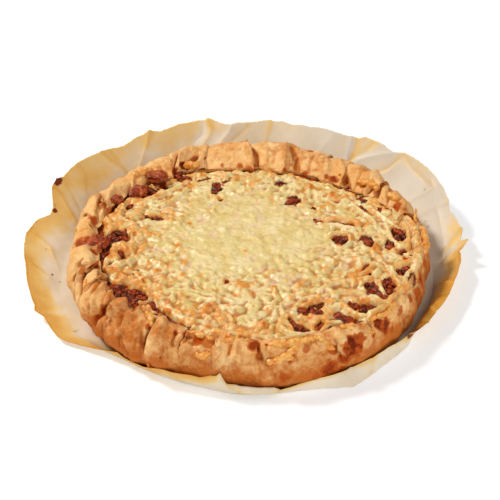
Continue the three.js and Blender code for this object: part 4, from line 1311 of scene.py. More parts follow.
    def masks(
        self, columns: Array, points: Array, edge: Array, rim: RimState, push: Array
    ) -> dict[str, Array]:
        """Browning with painted shade and light mixed in, stains, and the painted shade in the crust's
        grooves.
        """
        radius = np.linalg.norm(points[..., :2], axis=-1)
        height = points[..., 2]
        from_lip = radius - rim.lip[:, None]
        rough = layered_noise(points, 7.0, 51, 3)
        lip = smooth_step(7 - from_lip + 4 * rough, 0, 8) * (height > 29)
        wall = smooth_step(36 - height, 0, 26)
        front = smooth_step(-points[..., 1] + 0.4 * points[..., 0], -40, 80)
        edge_line = smooth_step(3.2 + 2.5 * rough - from_lip, 0, 3) * (height > 28)
        patchy = layered_noise(points, 17.0, 53, 2)
        edge_line = edge_line * smooth_step(patchy, -0.5, 0.5)
        stain = np.maximum(spotted(points, self.stains, 0.4, 71), 0.6 * edge_line)
        azimuth = np.degrees(np.arctan2(points[..., 1], points[..., 0]))
        folded_side = bell(gap_from(azimuth, -134), 30)
        crest = smooth_step(height + 3 * rough, 34, 39)
        # Browning from the dough's roughness and patches, the lip, the crest and the folded front-left
        # side, mixed with painted shade: darker on the front and right, which face away from the key light,
        # most of all low on the wall there; and painted light: paler on the lit left side.
        leftward = smooth_step(-points[..., 0], 50, 125) * smooth_step(points[..., 1], -90, -30)
        bake_and_shade = 0.02 + 0.12 * front - 0.55 * leftward + 0.26 * rough + 0.2 * patchy + 0.3 * lip
        bake_and_shade = bake_and_shade + wall * (0.05 + 0.75 * front) + 0.24 * folded_side + 0.18 * crest
        # Painted shade: darker where the folds push the dough in, and along the creases of the pleats.
        groove_shade = smooth_step(0.25 * rough - push, 0.15, 2.3) * smooth_step(height, 10, 24)
        crease, past = self.rim.nearest_crease(columns)
        sunk = bell(past, 1.6) * np.minimum(1, np.abs(self.rim.jump(crease)) / 3)
        groove_shade = np.maximum(groove_shade, 0.8 * sunk[:, None] * smooth_step(height, 22, 32))
        return {"bake_and_shade": bake_and_shade, "stain": stain * (edge > 0.01), "groove_shade": groove_shade}


@dataclass
class Cheese(Piece):
    """The lid of melted cheese: strands and lumps that ran together, with holes baked into it."""

    rim: Rim = field(default_factory=Rim)
    step: float = 0.75
    reach: float = 135.0
    floor: float = 29.2
    sole: float = 25.8
    cut: float = -3.0
    seed: int = 9
    strand_count: int = 1250
    strand_reach: float = 128
    lump_size: float = 7.2
    crumb_size: float = 3.9
    outermost: float = 131.0

    def hole_cover(self, x: Array, y: Array, rough: Array) -> Pair:
        """1 well inside a hole and 0 outside, with rough edges, and how near the holes are."""
        cover = np.zeros(x.shape)
        near = np.zeros(x.shape)
        for hole in HOLES:
            u, v = turned(x - hole.x, y - hole.y, math.radians(hole.turn))
            grown = HOLE_GROWTH * (hole.width > WIDE_HOLE)
            distance = np.hypot(u / ((hole.length + grown) / 2), v / ((hole.width + grown) / 2))
            narrow = min(hole.length, hole.width + grown) / 2
            depth = (1 - distance) * narrow + min(2.4, 0.6 * narrow) * rough
            cover = np.maximum(cover, smooth_step(depth, -0.5, 0.7))
            near = np.maximum(near, smooth_step(depth, -4.0, 0.0))
        return cover, near

    def window(self, place: tuple[float, float], half: float) -> tuple[tuple, Array, Array]:
        """The part of the grid round a place, and its x and y from that place."""
        count = int(2 * self.reach / self.step) + 1
        low = [max(0, int((c - half + self.reach) / self.step)) for c in place]
        high = [min(count, int((c + half + self.reach) / self.step) + 2) for c in place]
        x = np.arange(low[0], high[0])[:, None] * self.step - self.reach - place[0]
        y = np.arange(low[1], high[1])[None, :] * self.step - self.reach - place[1]
        return (slice(low[0], high[0]), slice(low[1], high[1])), x, y

    def stamp(self, top: Array, place: tuple, size: tuple, turn: float, bend: float) -> None:
        """Lays one short strand of cheese on the grid.

        Args:
            top: The cheese's height on the grid, changed in place.
            place: The strand's middle.
            size: Its length, width and height.
            turn: Its direction, in radians.
            bend: How much its ends swing aside, as a share of its length.
        """
        length, width, height = size
        window, x, y = self.window(place, length / 2 + width)
        u, v = turned(x, y, turn)
        v = v - bend * length * ((u / (length / 2)) ** 2 - 0.4)
        past = np.maximum(np.abs(u) - (length / 2 - width / 2), 0)
        distance = np.hypot(past, v) / (width / 2)
        strand = height * np.sqrt(np.clip(1 - distance**2, 0, 1))
        top[window] = np.where(distance < 1, np.maximum(top[window], strand), top[window])

    def random_strands(self, shape: tuple[int, int], edge: Array) -> Array:
        """The heights of strands that were scattered at random."""
        draw = np.random.default_rng(self.seed)
        top = np.full(shape, self.cut)
        for _ in range(self.strand_count):
            azimuth = draw.uniform(0, 2 * math.pi)
            radius = self.strand_reach * math.sqrt(draw.uniform(0, 1))
            size = (draw.uniform(4.5, 14), draw.uniform(3.2, 5.8), draw.uniform(1.8, 5.2))
            turn, bend = draw.uniform(0, math.pi), draw.uniform(-0.25, 0.25)
            place = (radius * math.cos(azimuth), radius * math.sin(azimuth))
            if radius < edge[tuple(int((c + self.reach) / self.step) for c in place)] - 0.35 * size[1]:
                self.stamp(top, place, size, turn, bend)
        return top

    def traced_strands(self, shape: tuple[int, int]) -> Pair:
        """The heights of the strands that can be told apart, and how brown they are."""
        top = np.full(shape, self.cut)
        toast = np.zeros(shape)
        for strand in STRANDS:
            places = along([(x, y, 0.0) for x, y in strand.line], 1.2)
            draw = np.random.default_rng(len(places))
            for k, (px, py, _) in enumerate(places):
                swell = 1 + 0.14 * math.sin(1.7 * k + len(places)) + draw.uniform(-0.08, 0.08)
                half = 0.5 * strand.width * swell * (0.82 if k in (0, len(places) - 1) else 1)
                window, x, y = self.window((px, py), half + 1)
                distance = np.hypot(x, y) / half
                bump = strand.rise * (0.8 + 0.2 * swell) * np.sqrt(np.clip(1 - 0.75 * distance**2, 0, 1))
                for grid, value in ((top, bump), (toast, strand.toast)):
                    grid[window] = np.where(distance < 1, np.maximum(grid[window], value), grid[window])
        return top, toast

    def toasted(self, flat: Array) -> Pair:
        """How brown the traced spots are, and how far they stand up."""
        rough = layered_noise(flat, 3.0, 33, 3)
        brown = np.zeros(flat.shape[:2])
        rise = np.zeros(flat.shape[:2])
        for spot in TOASTS:
            window, x, y = self.window((spot.x, spot.y), 2.2 * spot.size)
            distance = np.hypot(x, y) / spot.size + 0.4 * rough[window]
            shade = spot.strength * smooth_step(1.5 - distance, 0, 1.5) * (1.12 + 0.5 * rough[window])
            brown[window] = np.maximum(brown[window], shade)
            rise[window] += spot.rise * np.exp(-0.9 * np.maximum(distance, 0) ** 2)
        return brown, rise

    def build(self) -> None:
        """Makes the lid of cheese."""
        line = np.arange(-self.reach, self.reach + self.step / 2, self.step)
        x, y = np.meshgrid(line, line, indexing="ij")
        azimuth, radius = np.degrees(np.arctan2(y, x)), np.hypot(x, y)
        flat = np.stack([x, y, 0 * x], axis=-1)
        lip = self.rim.state(azimuth - round_table(self.rim.leans, azimuth)).lip
        edge = lip + round_table(CHEESE_REACH, azimuth) + 1.6 * layered_noise(flat, 7.0, 15, 2)
        inside = smooth_step(edge - radius, -1.0, 2.2)
        hole, near_hole = self.hole_cover(x, y, layered_noise(flat, 5.2, 91, 3))
        wild = smooth_step(radius + 13 * layered_noise(flat, 32.0, 17, 2) + 0.1 * (x - 0.4 * y), 22, 92)
        base = 1.5 + 0.5 * layered_noise(flat, 7.0, 19, 3)
        loose = np.maximum(base, self.random_strands(x.shape, edge))
        traced, traced_toast = self.traced_strands(x.shape)
        spot_toast, spot_rise = self.toasted(flat)
        soft = blur(loose, 2.8)
        calm = 2.7 + 0.5 * (soft - blur(loose, 14.0)) + 0.25 * (blur(loose, 1.6) - soft)
        knob, number = knobs(flat, self.lump_size, 110)
        crumb, crumb_number = knobs(flat, self.crumb_size, 120)
        side = blend(1.0, 0.72, smooth_step(x, -20, 80)) * blend(1.0, 0.62, smooth_step(y, 5, 70))
        knobby = side * (0.35 + 1.0 * number) * knob
        calm = calm + 0.7 * knobby + 0.85 * crumb - 0.8
        rugged = 0.65 * blur(loose, 0.9) + 3.8 * knobby + 1.6 * (0.4 + crumb_number) * crumb - 1.8
        top = blend(calm, rugged, wild)
        top = np.maximum(top, blur(np.maximum(traced, 0), 0.8) + 0.1) + spot_rise * (0.5 + 0.5 * wild)
        top = top + 0.15 * layered_noise(flat, 3.2, 23, 1)
        top = top + (0.35 - 0.15 * wild) * layered_noise(flat, 6.0, 29, 2)
        bridge = blur((traced > 0).astype(float), 0.8)
        cover = np.clip(hole - 1.4 * bridge, 0, 1)
        thickness = blend(self.cut, blend(top, self.cut, cover), inside)
        thickness = np.where(radius > edge + 2.5, self.cut, blur(thickness, 0.75))
        on_rim = self.rim.top(azimuth, radius) - 0.2 - 0.3 * np.clip(thickness, 0, 4)
        support = np.maximum(self.floor, on_rim)
        masks = self.masks(flat, thickness, radius - edge, cover, near_hole, wild)
        rimward = smooth_step(radius - edge, -42, -4)
        chance = 0.03 + 0.12 * wild + rimward * (0.12 + 0.16 * smooth_step(-x, -40, 90))
        chance = chance + 0.16 * layered_noise(flat, 16.0, 64, 2)
        deep = 0.45 + 0.4 * wild + 0.4 * layered_noise(flat, 6.0, 63, 2)
        knob_toast = deep * np.maximum(
            smooth_step(knob, 0.15, 0.85) * smooth_step(number + chance, 1.0, 1.14),
            0.8 * smooth_step(crumb, 0.1, 0.8) * smooth_step(crumb_number + chance, 1.0, 1.14),
        )
        masks["toast"] = np.maximum.reduce([masks["toast"], spot_toast, traced_toast * bridge, knob_toast])
        piece = grid_piece("cheese_melt", np.stack([x, y, support + thickness], axis=-1), masks)
        self.trim(piece, np.minimum(edge + 3.0, self.outermost))
        self.hand_over(piece)

    def masks(
        self,
        flat: Array,
        thickness: Array,
        over_edge: Array,
        cover: Array,
        near_hole: Array,
        wild: Array,
    ) -> dict[str, Array]:
        """Where the cheese is toasted, thin or soaked, and the painted shade, partly fat, in the valleys
        between its lumps.
        """
        level = blur(thickness, 5.0)
        high = smooth_step(thickness - level, 0.0, 1.4)
        patch = layered_noise(flat, 8.0, 61, 3)
        rimward = smooth_step(over_edge, -40, -4)
        leftward = smooth_step(-flat[..., 0], 0, 90)
        toast = high * smooth_step(patch + 0.4 * rimward + 0.2 * leftward, 0.15, 0.85) * (0.3 + 0.4 * wild)
        crisp = smooth_step(over_edge, -6.0, 1.5) * smooth_step(layered_noise(flat, 9.0, 65, 2), -0.5, 0.5)
        seared = 0.75 * near_hole * smooth_step(patch, -0.6, 0.4)
        # Painted shade, partly the fat that gathers there: the valleys and crevices between lumps; near the
        # rim a share of it goes into the toast mask.
        crevice = smooth_step(blur(thickness, 1.7) - thickness, 0.03, 0.5)
        valley_shade_and_fat = np.maximum(smooth_step(level - thickness, 0.0, 1.4), 0.8 * crevice) * (0.55 + 0.45 * wild)
        rim_valley_shade_and_fat = valley_shade_and_fat * rimward * smooth_step(layered_noise(flat, 11.0, 69, 2), -0.7, 0.4)
        thin = smooth_step(layered_noise(flat, 9.0, 67, 3), 0.15, 0.8)
        return {
            "toast": np.maximum.reduce([toast, 0.9 * crisp, seared, 0.55 * rim_valley_shade_and_fat]),
            "thin": thin * smooth_step(level - thickness, -0.8, 0.8),
            "valley_shade_and_fat": valley_shade_and_fat,
            "brink": smooth_step(cover, 0.05, 0.6),
        }

    def trim(self, piece: Object, edge: Array) -> None:
        """Cuts the square grid back to the edge of the cheese and closes it underneath."""
        points = get_points(piece)
        i, j = (np.rint((points[:, axis] + self.reach) / self.step).astype(int) for axis in (0, 1))
        outside = np.hypot(points[:, 0], points[:, 1]) > edge[i, j]
        edit(piece, clear_selection)
        piece.data.vertices.foreach_set("select", outside)
        bpy.ops.object.mode_set(mode="EDIT")
        bpy.ops.mesh.select_mode(type="VERT")
        bpy.ops.mesh.delete(type="VERT")
        bpy.ops.mesh.select_all(action="SELECT")
        bpy.ops.mesh.region_to_loop()
        bpy.ops.mesh.extrude_edges_move()
        bpy.ops.mesh.edge_face_add()
        bpy.ops.object.mode_set(mode="OBJECT")
        chosen = np.empty(len(piece.data.vertices), bool)
        piece.data.vertices.foreach_get("select", chosen)
        points = get_points(piece)
        points[chosen, 2] = self.sole
        set_points(piece, points)
        edit(piece, face_outwards)


@dataclass
class Filling(Piece):
    """The minced meat in its sauce, with every lump that shows through a hole."""

    level: float = 29.2
    spacing: float = 2.3
    reach: float = 123
    squash: tuple = ((0.9, 1.5), (0.8, 1.1), (0.6, 0.9))
    seed: int = 4

    def blobs(self) -> list[Blob]:
        """The lumps in and under the edges of the holes."""
        draw = np.random.default_rng(self.seed)
        blobs = []
        for hole in HOLES:
            half_length, half_width = hole.length / 2 + 2.2, hole.width / 2 + 2.2
            turn = math.radians(hole.turn)
            for u in np.arange(-half_length, half_length, self.spacing):
                for v in np.arange(-half_width, half_width, self.spacing):
                    along_u = u + draw.uniform(-1.1, 1.1)
                    along_v = v + draw.uniform(-1.1, 1.1)
                    size = draw.uniform(2.4, 3.4) if draw.uniform() < 0.1 else draw.uniform(0.9, 2.0)
                    lift = draw.uniform(-0.6, 1.3)
                    half = tuple(size * draw.uniform(*ends) for ends in self.squash)
                    spin = draw.uniform(0, 180)
                    if (along_u / half_length) ** 2 + (along_v / half_width) ** 2 > 1:
                        continue
                    x = hole.x + along_u * math.cos(turn) - along_v * math.sin(turn)
                    y = hole.y + along_u * math.sin(turn) + along_v * math.cos(turn)
                    if math.hypot(x, y) < self.reach:
                        blobs.append(Blob((x, y, self.level + lift), half, spin, draw.uniform(-25, 25)))
        return blobs

    def bed(self) -> Object:
        """The body of the filling, a disc that fills the crust."""
        azimuth = np.linspace(0, 360, 181)
        profile = [(radius, self.level) for radius in (0, 30, 60, 90, 110, 122, 126.55)]
        profile += [(131.95, 18), (129.15, 5.6), (0, 5.6)]
        points = np.stack([polar(azimuth, r, z) for r, z in profile], axis=1)
        top = np.arange(len(profile)) < 6
        points[..., 2] += top * 0.5 * layered_noise(points, 6.0, 5, 2)
        points[-1] = points[0]
        return grid_piece("filling_bed", points, {})

    def build(self) -> None:
        """Makes the filling."""
        bed = self.bed()
        edit(bed, weld, face_outwards)
        lumps = lumps_piece("filling_lumps", self.blobs(), 2, 0.22, 7)
        piece = join("filling_mince", bed, lumps)
        self.hand_over(piece)


@dataclass
class MeatLumps(Piece):
    """The lumps of meat that lie on the rim."""

    lumps: tuple = each(
        Blob,
        ((-72, 77, 36.6), (8.8, 6.2, 4.6), -35), ((-86, 59, 34.6), (8.2, 5.8, 4.4), 30),
        ((-102, 48, 35), (5, 4, 3.4), 20), ((-112, -9.5, 35), (9, 6.6, 3.4), 5),
    )

    def build(self) -> None:
        """Makes each lump as a piece of its own."""
        for k, lump in enumerate(self.lumps):
            self.nodes = (f"meat_lump_{k + 1}",)
            piece = lumps_piece(f"meat_piece_{k + 1}", [lump], 5, 0.3, 40 + k)
            points = get_points(piece)
            push = 0.35 * layered_noise(points * np.array([1, 1, 1.6]), 2.2, 47, 3)
            set_points(piece, points + push[:, None] * get_normals(piece))
            self.hand_over(piece)


@dataclass(frozen=True)
class Scrap:
    """A scrap on the rim: its line of azimuths, radii and heights, and how thick it is along that line."""

    line: tuple[tuple[float, float, float], ...]
    radii: tuple[float, ...]


@dataclass
class Scraps(Piece):
    """Small runs and drops that lie on the crust, melted into single shapes."""

    name: str = "scraps"
    scraps: tuple[Scrap, ...] = ()
    voxel: float = 0.45
    roughness: float = 0.55

    def blobs(self) -> list[Blob]:
        """The balls along every scrap's line."""
        draw = np.random.default_rng(12)
        blobs = []
        for scrap in self.scraps:
            places = [polar(*place) for place in scrap.line]
            if len(places) == 1:
                places = places * 2
            centres = along(places, 0.9)
            shares = np.linspace(0, 1, len(centres))
            radii = np.interp(shares, np.linspace(0, 1, len(scrap.radii)), scrap.radii)
            for centre, radius in zip(centres, radii):
                half = radius * draw.uniform(0.7, 1.2, 3)
                middle = centre + draw.uniform(-0.5, 0.5, 3)
                blobs.append(Blob(tuple(middle), tuple(half), draw.uniform(0, 180)))
        return blobs

    def build(self) -> None:
        """Makes the scraps as one piece."""
        piece = lumps_piece(self.name, self.blobs(), 2, 0.15, 17)
        apply_modifier(piece, "REMESH", mode="VOXEL", voxel_size=self.voxel * MM)
        apply_modifier(piece, "SMOOTH", factor=0.5, iterations=3)
        points = get_points(piece)
        push = self.roughness * layered_noise(points, 2.4, 57, 3)
        set_points(piece, points + push[:, None] * get_normals(piece))
        paint(piece, "bake_and_shade", 0.45 + 0.4 * layered_noise(points, 5.0, 58, 2))
        paint(piece, "toast", 0.3 + 0.9 * layered_noise(points, 2.6, 59, 2))
        self.hand_over(piece)


CHEESE_SCRAPS = each(
    Scrap,
    (((277.6, 136.9, 28.2), (279.6, 136.6, 29.6), (282, 135, 32.4), (284.5, 131.6, 34.8)),
     (2.3, 1.9, 2.2, 1.9)),
    (((281, 136.4, 29.8), (282.6, 137, 28.4)), (2, 1.4)),
    (((276, 137.2, 28.6),), (2.3,)),
    (((277, 127.5, 34.8), (281.5, 129, 35.6), (286.5, 130, 36), (291, 129.5, 36.2)), (2.3, 2.9, 2.2, 1.5)),
    (((291.5, 130.5, 35.6), (293.6, 133, 32.4), (295, 135.8, 27.6)), (1.8, 2, 1.5)),
    (((293, 134.4, 30.4), (294.2, 136.2, 28.4)), (1.8, 1.2)),
    (((255.6, 136.8, 31), (257.4, 136.6, 30.2), (258.6, 135.6, 32.6)), (1.9, 2.3, 1.6)),
    (((256.6, 137.2, 28.4), (257.4, 136.6, 30.4)), (1.3, 2)),
    (((242, 137.6, 25.2),), (3.1,)),
    (((307.6, 134, 29.6), (309, 135.2, 27.8)), (2.2, 2.4)),
    (((10.2, 129.5, 32), (12, 130.5, 35.5), (12.8, 131, 39)), (1.9, 1.3, 0.5)),
    (((206.5, 129.5, 34), (207.5, 131, 32)), (2.4, 1.9)),
    (((235, 119.5, 38), (236.6, 121, 38.2), (237.4, 123, 37.2)), (2.7, 3, 2)),
    (((238, 124.5, 36.4), (239.2, 126.4, 35.6)), (1.8, 1.6)),
    (((139, 121.5, 36), (135.4, 119.5, 36.4), (131, 114.5, 36.2), (128.4, 108, 35)), (2.8, 3.2, 2.9, 2.4)),
    (((118, 108, 35.4), (115.8, 106, 36.2), (113.6, 104.5, 36)), (2.6, 3.2, 2.5)),
    (((262.5, 125, 35.4), (266, 124, 35.8), (270, 123.5, 35.2)), (1.9, 2.3, 1.7)),
    (((250.5, 121.5, 35.6), (254, 122, 36), (258.5, 123.5, 35.6)), (1.6, 2.2, 1.7)),
    (((39, 112.5, 36.2), (35, 115.5, 37), (31.5, 117.5, 36.6)), (2.6, 3.4, 2.6)),
    (((24.5, 121, 36.8), (21.5, 123, 37)), (3, 2.6)),
    (((356, 131.6, 33.4), (0.5, 132.2, 33.4), (4.5, 131.6, 33.8)), (2.2, 2.8, 2)),
    (((352, 131.4, 31), (358, 133, 29.6)), (1.8, 2.4)),
    (((310, 130.5, 34.6), (315.5, 131.8, 33.8), (321, 131.2, 33.8)), (1.5, 2, 1.5)),
    (((176.8, 129.5, 34.6),), (1.6,)),
    (((300, 127, 35.8), (303.6, 128.6, 35.8)), (1.8, 1.5)),
)

DOUGH_SCRAPS = each(
    Scrap,
    (((260.6, 131.6, 34.6), (261, 133.8, 32.4), (260.8, 135.8, 29.6)), (2.6, 3.6, 2.2)),
    (((298, 132.2, 34), (297.6, 135, 30.4), (297, 136.8, 26.2)), (2.2, 3, 1.8)),
)


@dataclass(frozen=True)
class Crease:
    """A sharp crease in the paper along a line of azimuths and radii.

    It stands up by rise (or sinks), and tint makes it golden, or paler where it is below 0: a painted
    highlight along the crease.
    """

    line: tuple[tuple[float, float], ...]
    width: float
    rise: float
    tint: float = 0.0


CREASES = each(
    Crease,
    (((153.5, 174), (153.4, 168.5), (155.2, 157), (157, 149)), 2.2, 1.2, 0.35),
    (((149.2, 172), (149.5, 170), (150.2, 161.7), (152, 152)), 2, -1, 0.2),
    (((134.6, 173), (134.1, 171), (132.4, 164.7), (130.4, 157)), 1.4, 0.9, 0.45),
    (((131.8, 171), (130.8, 164), (129.4, 155)), 1.2, -0.7, 0.3),
    (((169.4, 168), (171, 155.6), (176.4, 147.8), (184.4, 140)), 2.2, 1, 0.2),
    (((143, 173), (143.4, 166.4), (146.9, 158)), 3, 0.8, 0.3),
    (((180.4, 167), (182.8, 159), (185, 150)), 1.8, 0.8, 0.2),
    (((118.2, 176), (120.9, 167.4), (123.6, 160.7), (128, 152)), 2.4, 1.6, 0.35),
    (((101.5, 180), (100.5, 171.7), (101.6, 167.6), (106, 158)), 1.8, 1.6, 0.45),
    (((102.3, 178), (103.2, 170.5), (105.9, 166.5)), 2, -1.2, -0.3),
    (((94.8, 169), (95.8, 166), (99.5, 160)), 2, 1.8, -0.5),
    (((90, 170), (92.5, 165.3), (96, 160)), 1.6, -1, 0.2),
    (((83.6, 175), (84.3, 167), (86, 156)), 1.8, 1, 0.5),
    (((64.8, 169), (66.6, 162), (68.5, 155)), 4, 1, -0.4),
    (((59.4, 169), (59, 163), (58.2, 153)), 1.8, 2, -0.5),
    (((57.5, 173), (57.2, 164.3), (57.7, 156)), 2.6, -1.4, 0.4),
    (((46.1, 170), (50.7, 165.7), (55.5, 160)), 2.2, 1.4, -0.4),
    (((52.6, 173), (54.3, 166.2), (57.4, 160)), 2.4, -1, 0.3),
    (((43.4, 171), (45.2, 162.9), (48.6, 156)), 1.2, -1.2, 0.3),
    (((30.6, 170), (27.9, 167.7), (29.6, 162.1), (32.4, 152)), 1.6, 1.2, 0.15),
    (((20.2, 168), (23.2, 158.4), (25.4, 149)), 1.6, 1.4, 0.1),
    (((21.5, 160.3), (16, 156.8), (10.9, 154.5), (5, 150)), 2.2, 1, 0.1),
    (((42.6, 174), (38.5, 170.2), (31.2, 167.6)), 1.8, -0.8, 0.2),
    (((10, 168), (8.4, 159), (6.4, 152)), 2, 2.2, 0.4),
    (((3.6, 164), (5.6, 155), (3, 147)), 2, -1.4, 0.3),
    (((262.4, 137), (262.2, 141)), 1.2, 0.8, -0.2),
    (((268, 137.5), (267.5, 143)), 1.4, -0.8, 0.2),
    (((300, 139), (299, 148)), 1.6, 1.2, -0.2),
    (((309, 139), (305, 146)), 1.6, -0.9, 0.3),
    (((328, 140), (329.5, 150)), 1.4, -1.6, 0.4),
    (((336, 141), (334, 151)), 1.2, 1.4, 0.3),
    (((341, 141), (343, 153)), 1.4, -1.4, 0.2),
    (((350, 142), (348, 155)), 1.6, 1.4, 0.2),
)


@dataclass
class Paper(Piece):
    """The sheet of baking paper: creased, torn along its edge and browned."""

    columns: int = 1100
    rise_rows: int = 52
    thickness: float = 0.3
    crease_reach: float = 16
    flat_level: float = 0.5
    # Rows of the part that lies on the floor, as shares of the way out to the fold.
    flat_rows: tuple = (0, 0.45, 0.8, 0.93)
    # Azimuth, radius of the fold on the floor, radius and height of the edge, and how far a ridge inside
    # the edge stands above the straight line from fold to edge.
    stations: tuple = (
        (0, 140, 160.5, 16.5, 4.5), (2.8, 140, 161, 16.5, 3), (5.4, 140, 169.5, 16, 2),
        (7.2, 140, 164.3, 16, 1), (10, 140, 168, 16, 0), (18, 140, 165.5, 21, 0), (21, 140, 169, 25, 0),
        (25, 140, 171.5, 29, 0), (34, 139, 175, 32, 0), (43, 139, 176, 32, 0), (46, 139, 170.5, 31, 0),
        (50, 139, 173, 32, 0), (56, 139, 175.5, 32, 0), (60, 139, 168.5, 31, 0), (68, 139, 171.5, 32, 0),
        (78, 139, 171.5, 32, 0), (80.5, 139, 174.5, 32, 0), (84.5, 139, 174.5, 32, 0),
        (93.6, 139, 171, 32, 0), (95.2, 139, 168, 31.5, 0), (101, 139, 179.5, 32.5, 0),
        (110, 139, 176.5, 32, 0), (117.3, 139, 174, 31.5, 0), (118.8, 139, 176.5, 32, 0),
        (126, 139, 171.5, 30, 0), (129, 139, 171.5, 29, 0), (132, 139, 173, 32, 0),
        (141.7, 139, 174.5, 31.5, 0), (149, 140, 173, 31, 0), (151.2, 140, 176.5, 30, 0),
        (154, 140, 175.5, 23, 0), (158, 140, 166.5, 18, 0), (160.5, 140, 165, 14, 0),
        (164, 140, 171.5, 14, 0), (170.3, 141, 175, 14, 0), (178.5, 141, 170.2, 13, 0),
        (182, 141, 167.8, 12, 0), (189, 142, 166.3, 11, 0), (194, 142, 164.6, 9.5, 0),
        (198, 143, 163.8, 8.5, 0), (200.3, 143, 164.7, 8, 0), (202.5, 143, 160.5, 7, 0),
        (206.5, 143, 159.5, 5, 0), (211, 143, 158.7, 4, 0), (214.5, 141.5, 154, 3, 0),
        (216.5, 140, 150.3, 3, 0.5), (223, 137.5, 142.8, 5, 1), (229, 134.4, 138.6, 8.6, 0),
        (234, 133.8, 138.6, 6.6, 0), (238, 133.6, 139, 7.4, 0), (241.2, 133.7, 139.4, 9.7, 0),
        (244.5, 133.9, 139.9, 12, 0), (248, 134, 140.4, 13.2, 0), (252.2, 134.4, 140.6, 13.9, 0),
        (256.5, 135, 140.6, 13.8, 0), (259.4, 136, 140.2, 16, 0), (261, 136.4, 140.4, 16.4, 0),
        (262.2, 136.8, 140.2, 19.2, 0), (263.4, 137.4, 141.4, 14.5, 3), (264.6, 138, 143, 9.5, 6.2),
        (266.6, 138.3, 144, 7.4, 7.4), (269, 138.5, 144, 5.6, 7), (273, 138.6, 143.6, 4.2, 6),
        (277.2, 138.6, 142.6, 4, 5.4), (279.2, 138.5, 140.6, 4.8, 1.4), (281.5, 138.8, 140, 5.6, 0),
        (284.5, 139, 139.8, 7, 0), (288, 140.2, 139.6, 7.8, 0), (291, 141.6, 139.6, 8.2, 0),
        (297, 146.8, 139.8, 8.6, 0), (298.8, 149.2, 140, 8.8, 0), (303.5, 146.8, 140.2, 9.4, 0),
        (310, 143.9, 140.6, 10.4, 0), (316, 143.1, 140.6, 10, 0), (319.4, 143.2, 141.4, 9.5, 0),
        (321.8, 143, 145, 13.4, 0), (323.4, 142.4, 146.4, 12.5, 1), (326, 140.4, 147.2, 11.8, 4),
        (329, 139.6, 148.9, 13, 7), (336, 139.6, 151, 13.8, 8.5), (343, 139.8, 153.1, 14.2, 8),
        (349, 140, 154.8, 14.8, 7), (353, 140, 157.6, 15.4, 6), (356.5, 140, 159.4, 16, 5),
    )
    # How strongly the edge is browned, and how wide the browned band is.
    browning: tuple = (
        (0, 0.9, 12), (10, 0.5, 12), (22, 0.16, 12), (40, 0.2, 15), (60, 0.2, 14), (75, 0.12, 12),
        (90, 0.14, 12), (102, 0.34, 16), (118, 0.42, 17), (130, 0.55, 21), (150, 0.68, 22), (170, 0.78, 17),
        (190, 0.84, 15), (205, 0.88, 13), (215, 0.88, 11), (228, 1, 8), (245, 0.9, 8), (258, 0.85, 8),
        (264, 0.35, 5), (276, 0.15, 4), (281, 0.6, 3), (290, 0.5, 2.5), (300, 0.35, 2.5), (312, 0.3, 3),
        (319, 0.4, 3), (324, 1.1, 10), (335, 1.2, 13), (350, 1.1, 13),
    )
    scorches: tuple = each(
        Spot,
        (142.9, 164.5, 25, 2, 1.2), (143.6, 166.3, 26, 1.5, 1.2), (151.3, 174, 28, 4.2, 0.95),
        (158.6, 164.5, 16, 2.2, 1.1), (157.4, 167.5, 16, 2.4, 0.8), (321.8, 145, 11, 2.6, 1),
        (324.5, 145.5, 12, 2.8, 0.8), (331, 148, 17, 2, 1), (336, 149, 18, 2.6, 1),
        (333.5, 146.5, 17, 1.2, 1), (341, 150.5, 18, 1.4, 0.8), (345, 152, 17, 1.8, 0.7),
        (183, 148.7, 3.6, 1.5, 0.75), (185.5, 142.6, 1.5, 1.6, 0.75), (187.5, 140, 1, 1.4, 0.7),
        (210, 143.7, 1.4, 1.8, 0.45), (211, 140.8, 1, 2, 0.45), (30.2, 164, 21, 2, 0.5),
        (32.5, 163.9, 21.2, 1.3, 0.45), (21.9, 150.9, 8, 1.8, 0.5), (19.4, 150.3, 7.8, 1.8, 0.5),
        (105.9, 166.5, 20.6, 1.6, 0.5), (128.6, 159.2, 18, 1.2, 0.5), (172.6, 157.6, 6.6, 1.2, 0.5),
        (38, 163, 24, 1, 0.4),
    )

    def creased(self, azimuth: Array, radius: Array, open_share: Array) -> Pair:
        """How far waves and creases lift each point of the sheet, and how much they tint it."""
        arc = np.radians(azimuth)[:, None] * PAPER_RADIUS
        wave = 1.4 * pattern(83, arc / 40, radius / 40) + 0.12 * pattern(85, arc / 9, radius / 26)
        lift = open_share[:, None] * wave
        tint = np.zeros(radius.shape)
        for crease in CREASES:
            middle = sum(at for at, _ in crease.line) / len(crease.line)
            gap = gap_from(azimuth, middle)
            near = np.flatnonzero(np.abs(gap) < self.crease_reach)
            local = np.radians(gap[near])[:, None] * PAPER_RADIUS
            line = [(math.radians(at - middle) * PAPER_RADIUS, place) for at, place in crease.line]
            away, _ = line_distance(local, radius[near], line)
            lift[near] += crease.rise * np.exp(-away / crease.width)
            # A tint below 0 paints a highlight along the crease.
            tint[near] += crease.tint * bell(away, 1.3 * crease.width)
        return lift, tint

    @staticmethod
    def evened(values: Array, reach: int = 8) -> Array:
        """Values round the pie, smoothed over a few degrees."""
        weights = np.exp(-0.5 * (np.arange(-3 * reach, 3 * reach + 1) / reach) ** 2)
        padded = np.concatenate([values[-3 * reach - 1 : -1], values[:-1], values[: 3 * reach]])
        even = np.convolve(padded, weights / weights.sum(), mode="valid")
        return np.append(even, even[0])

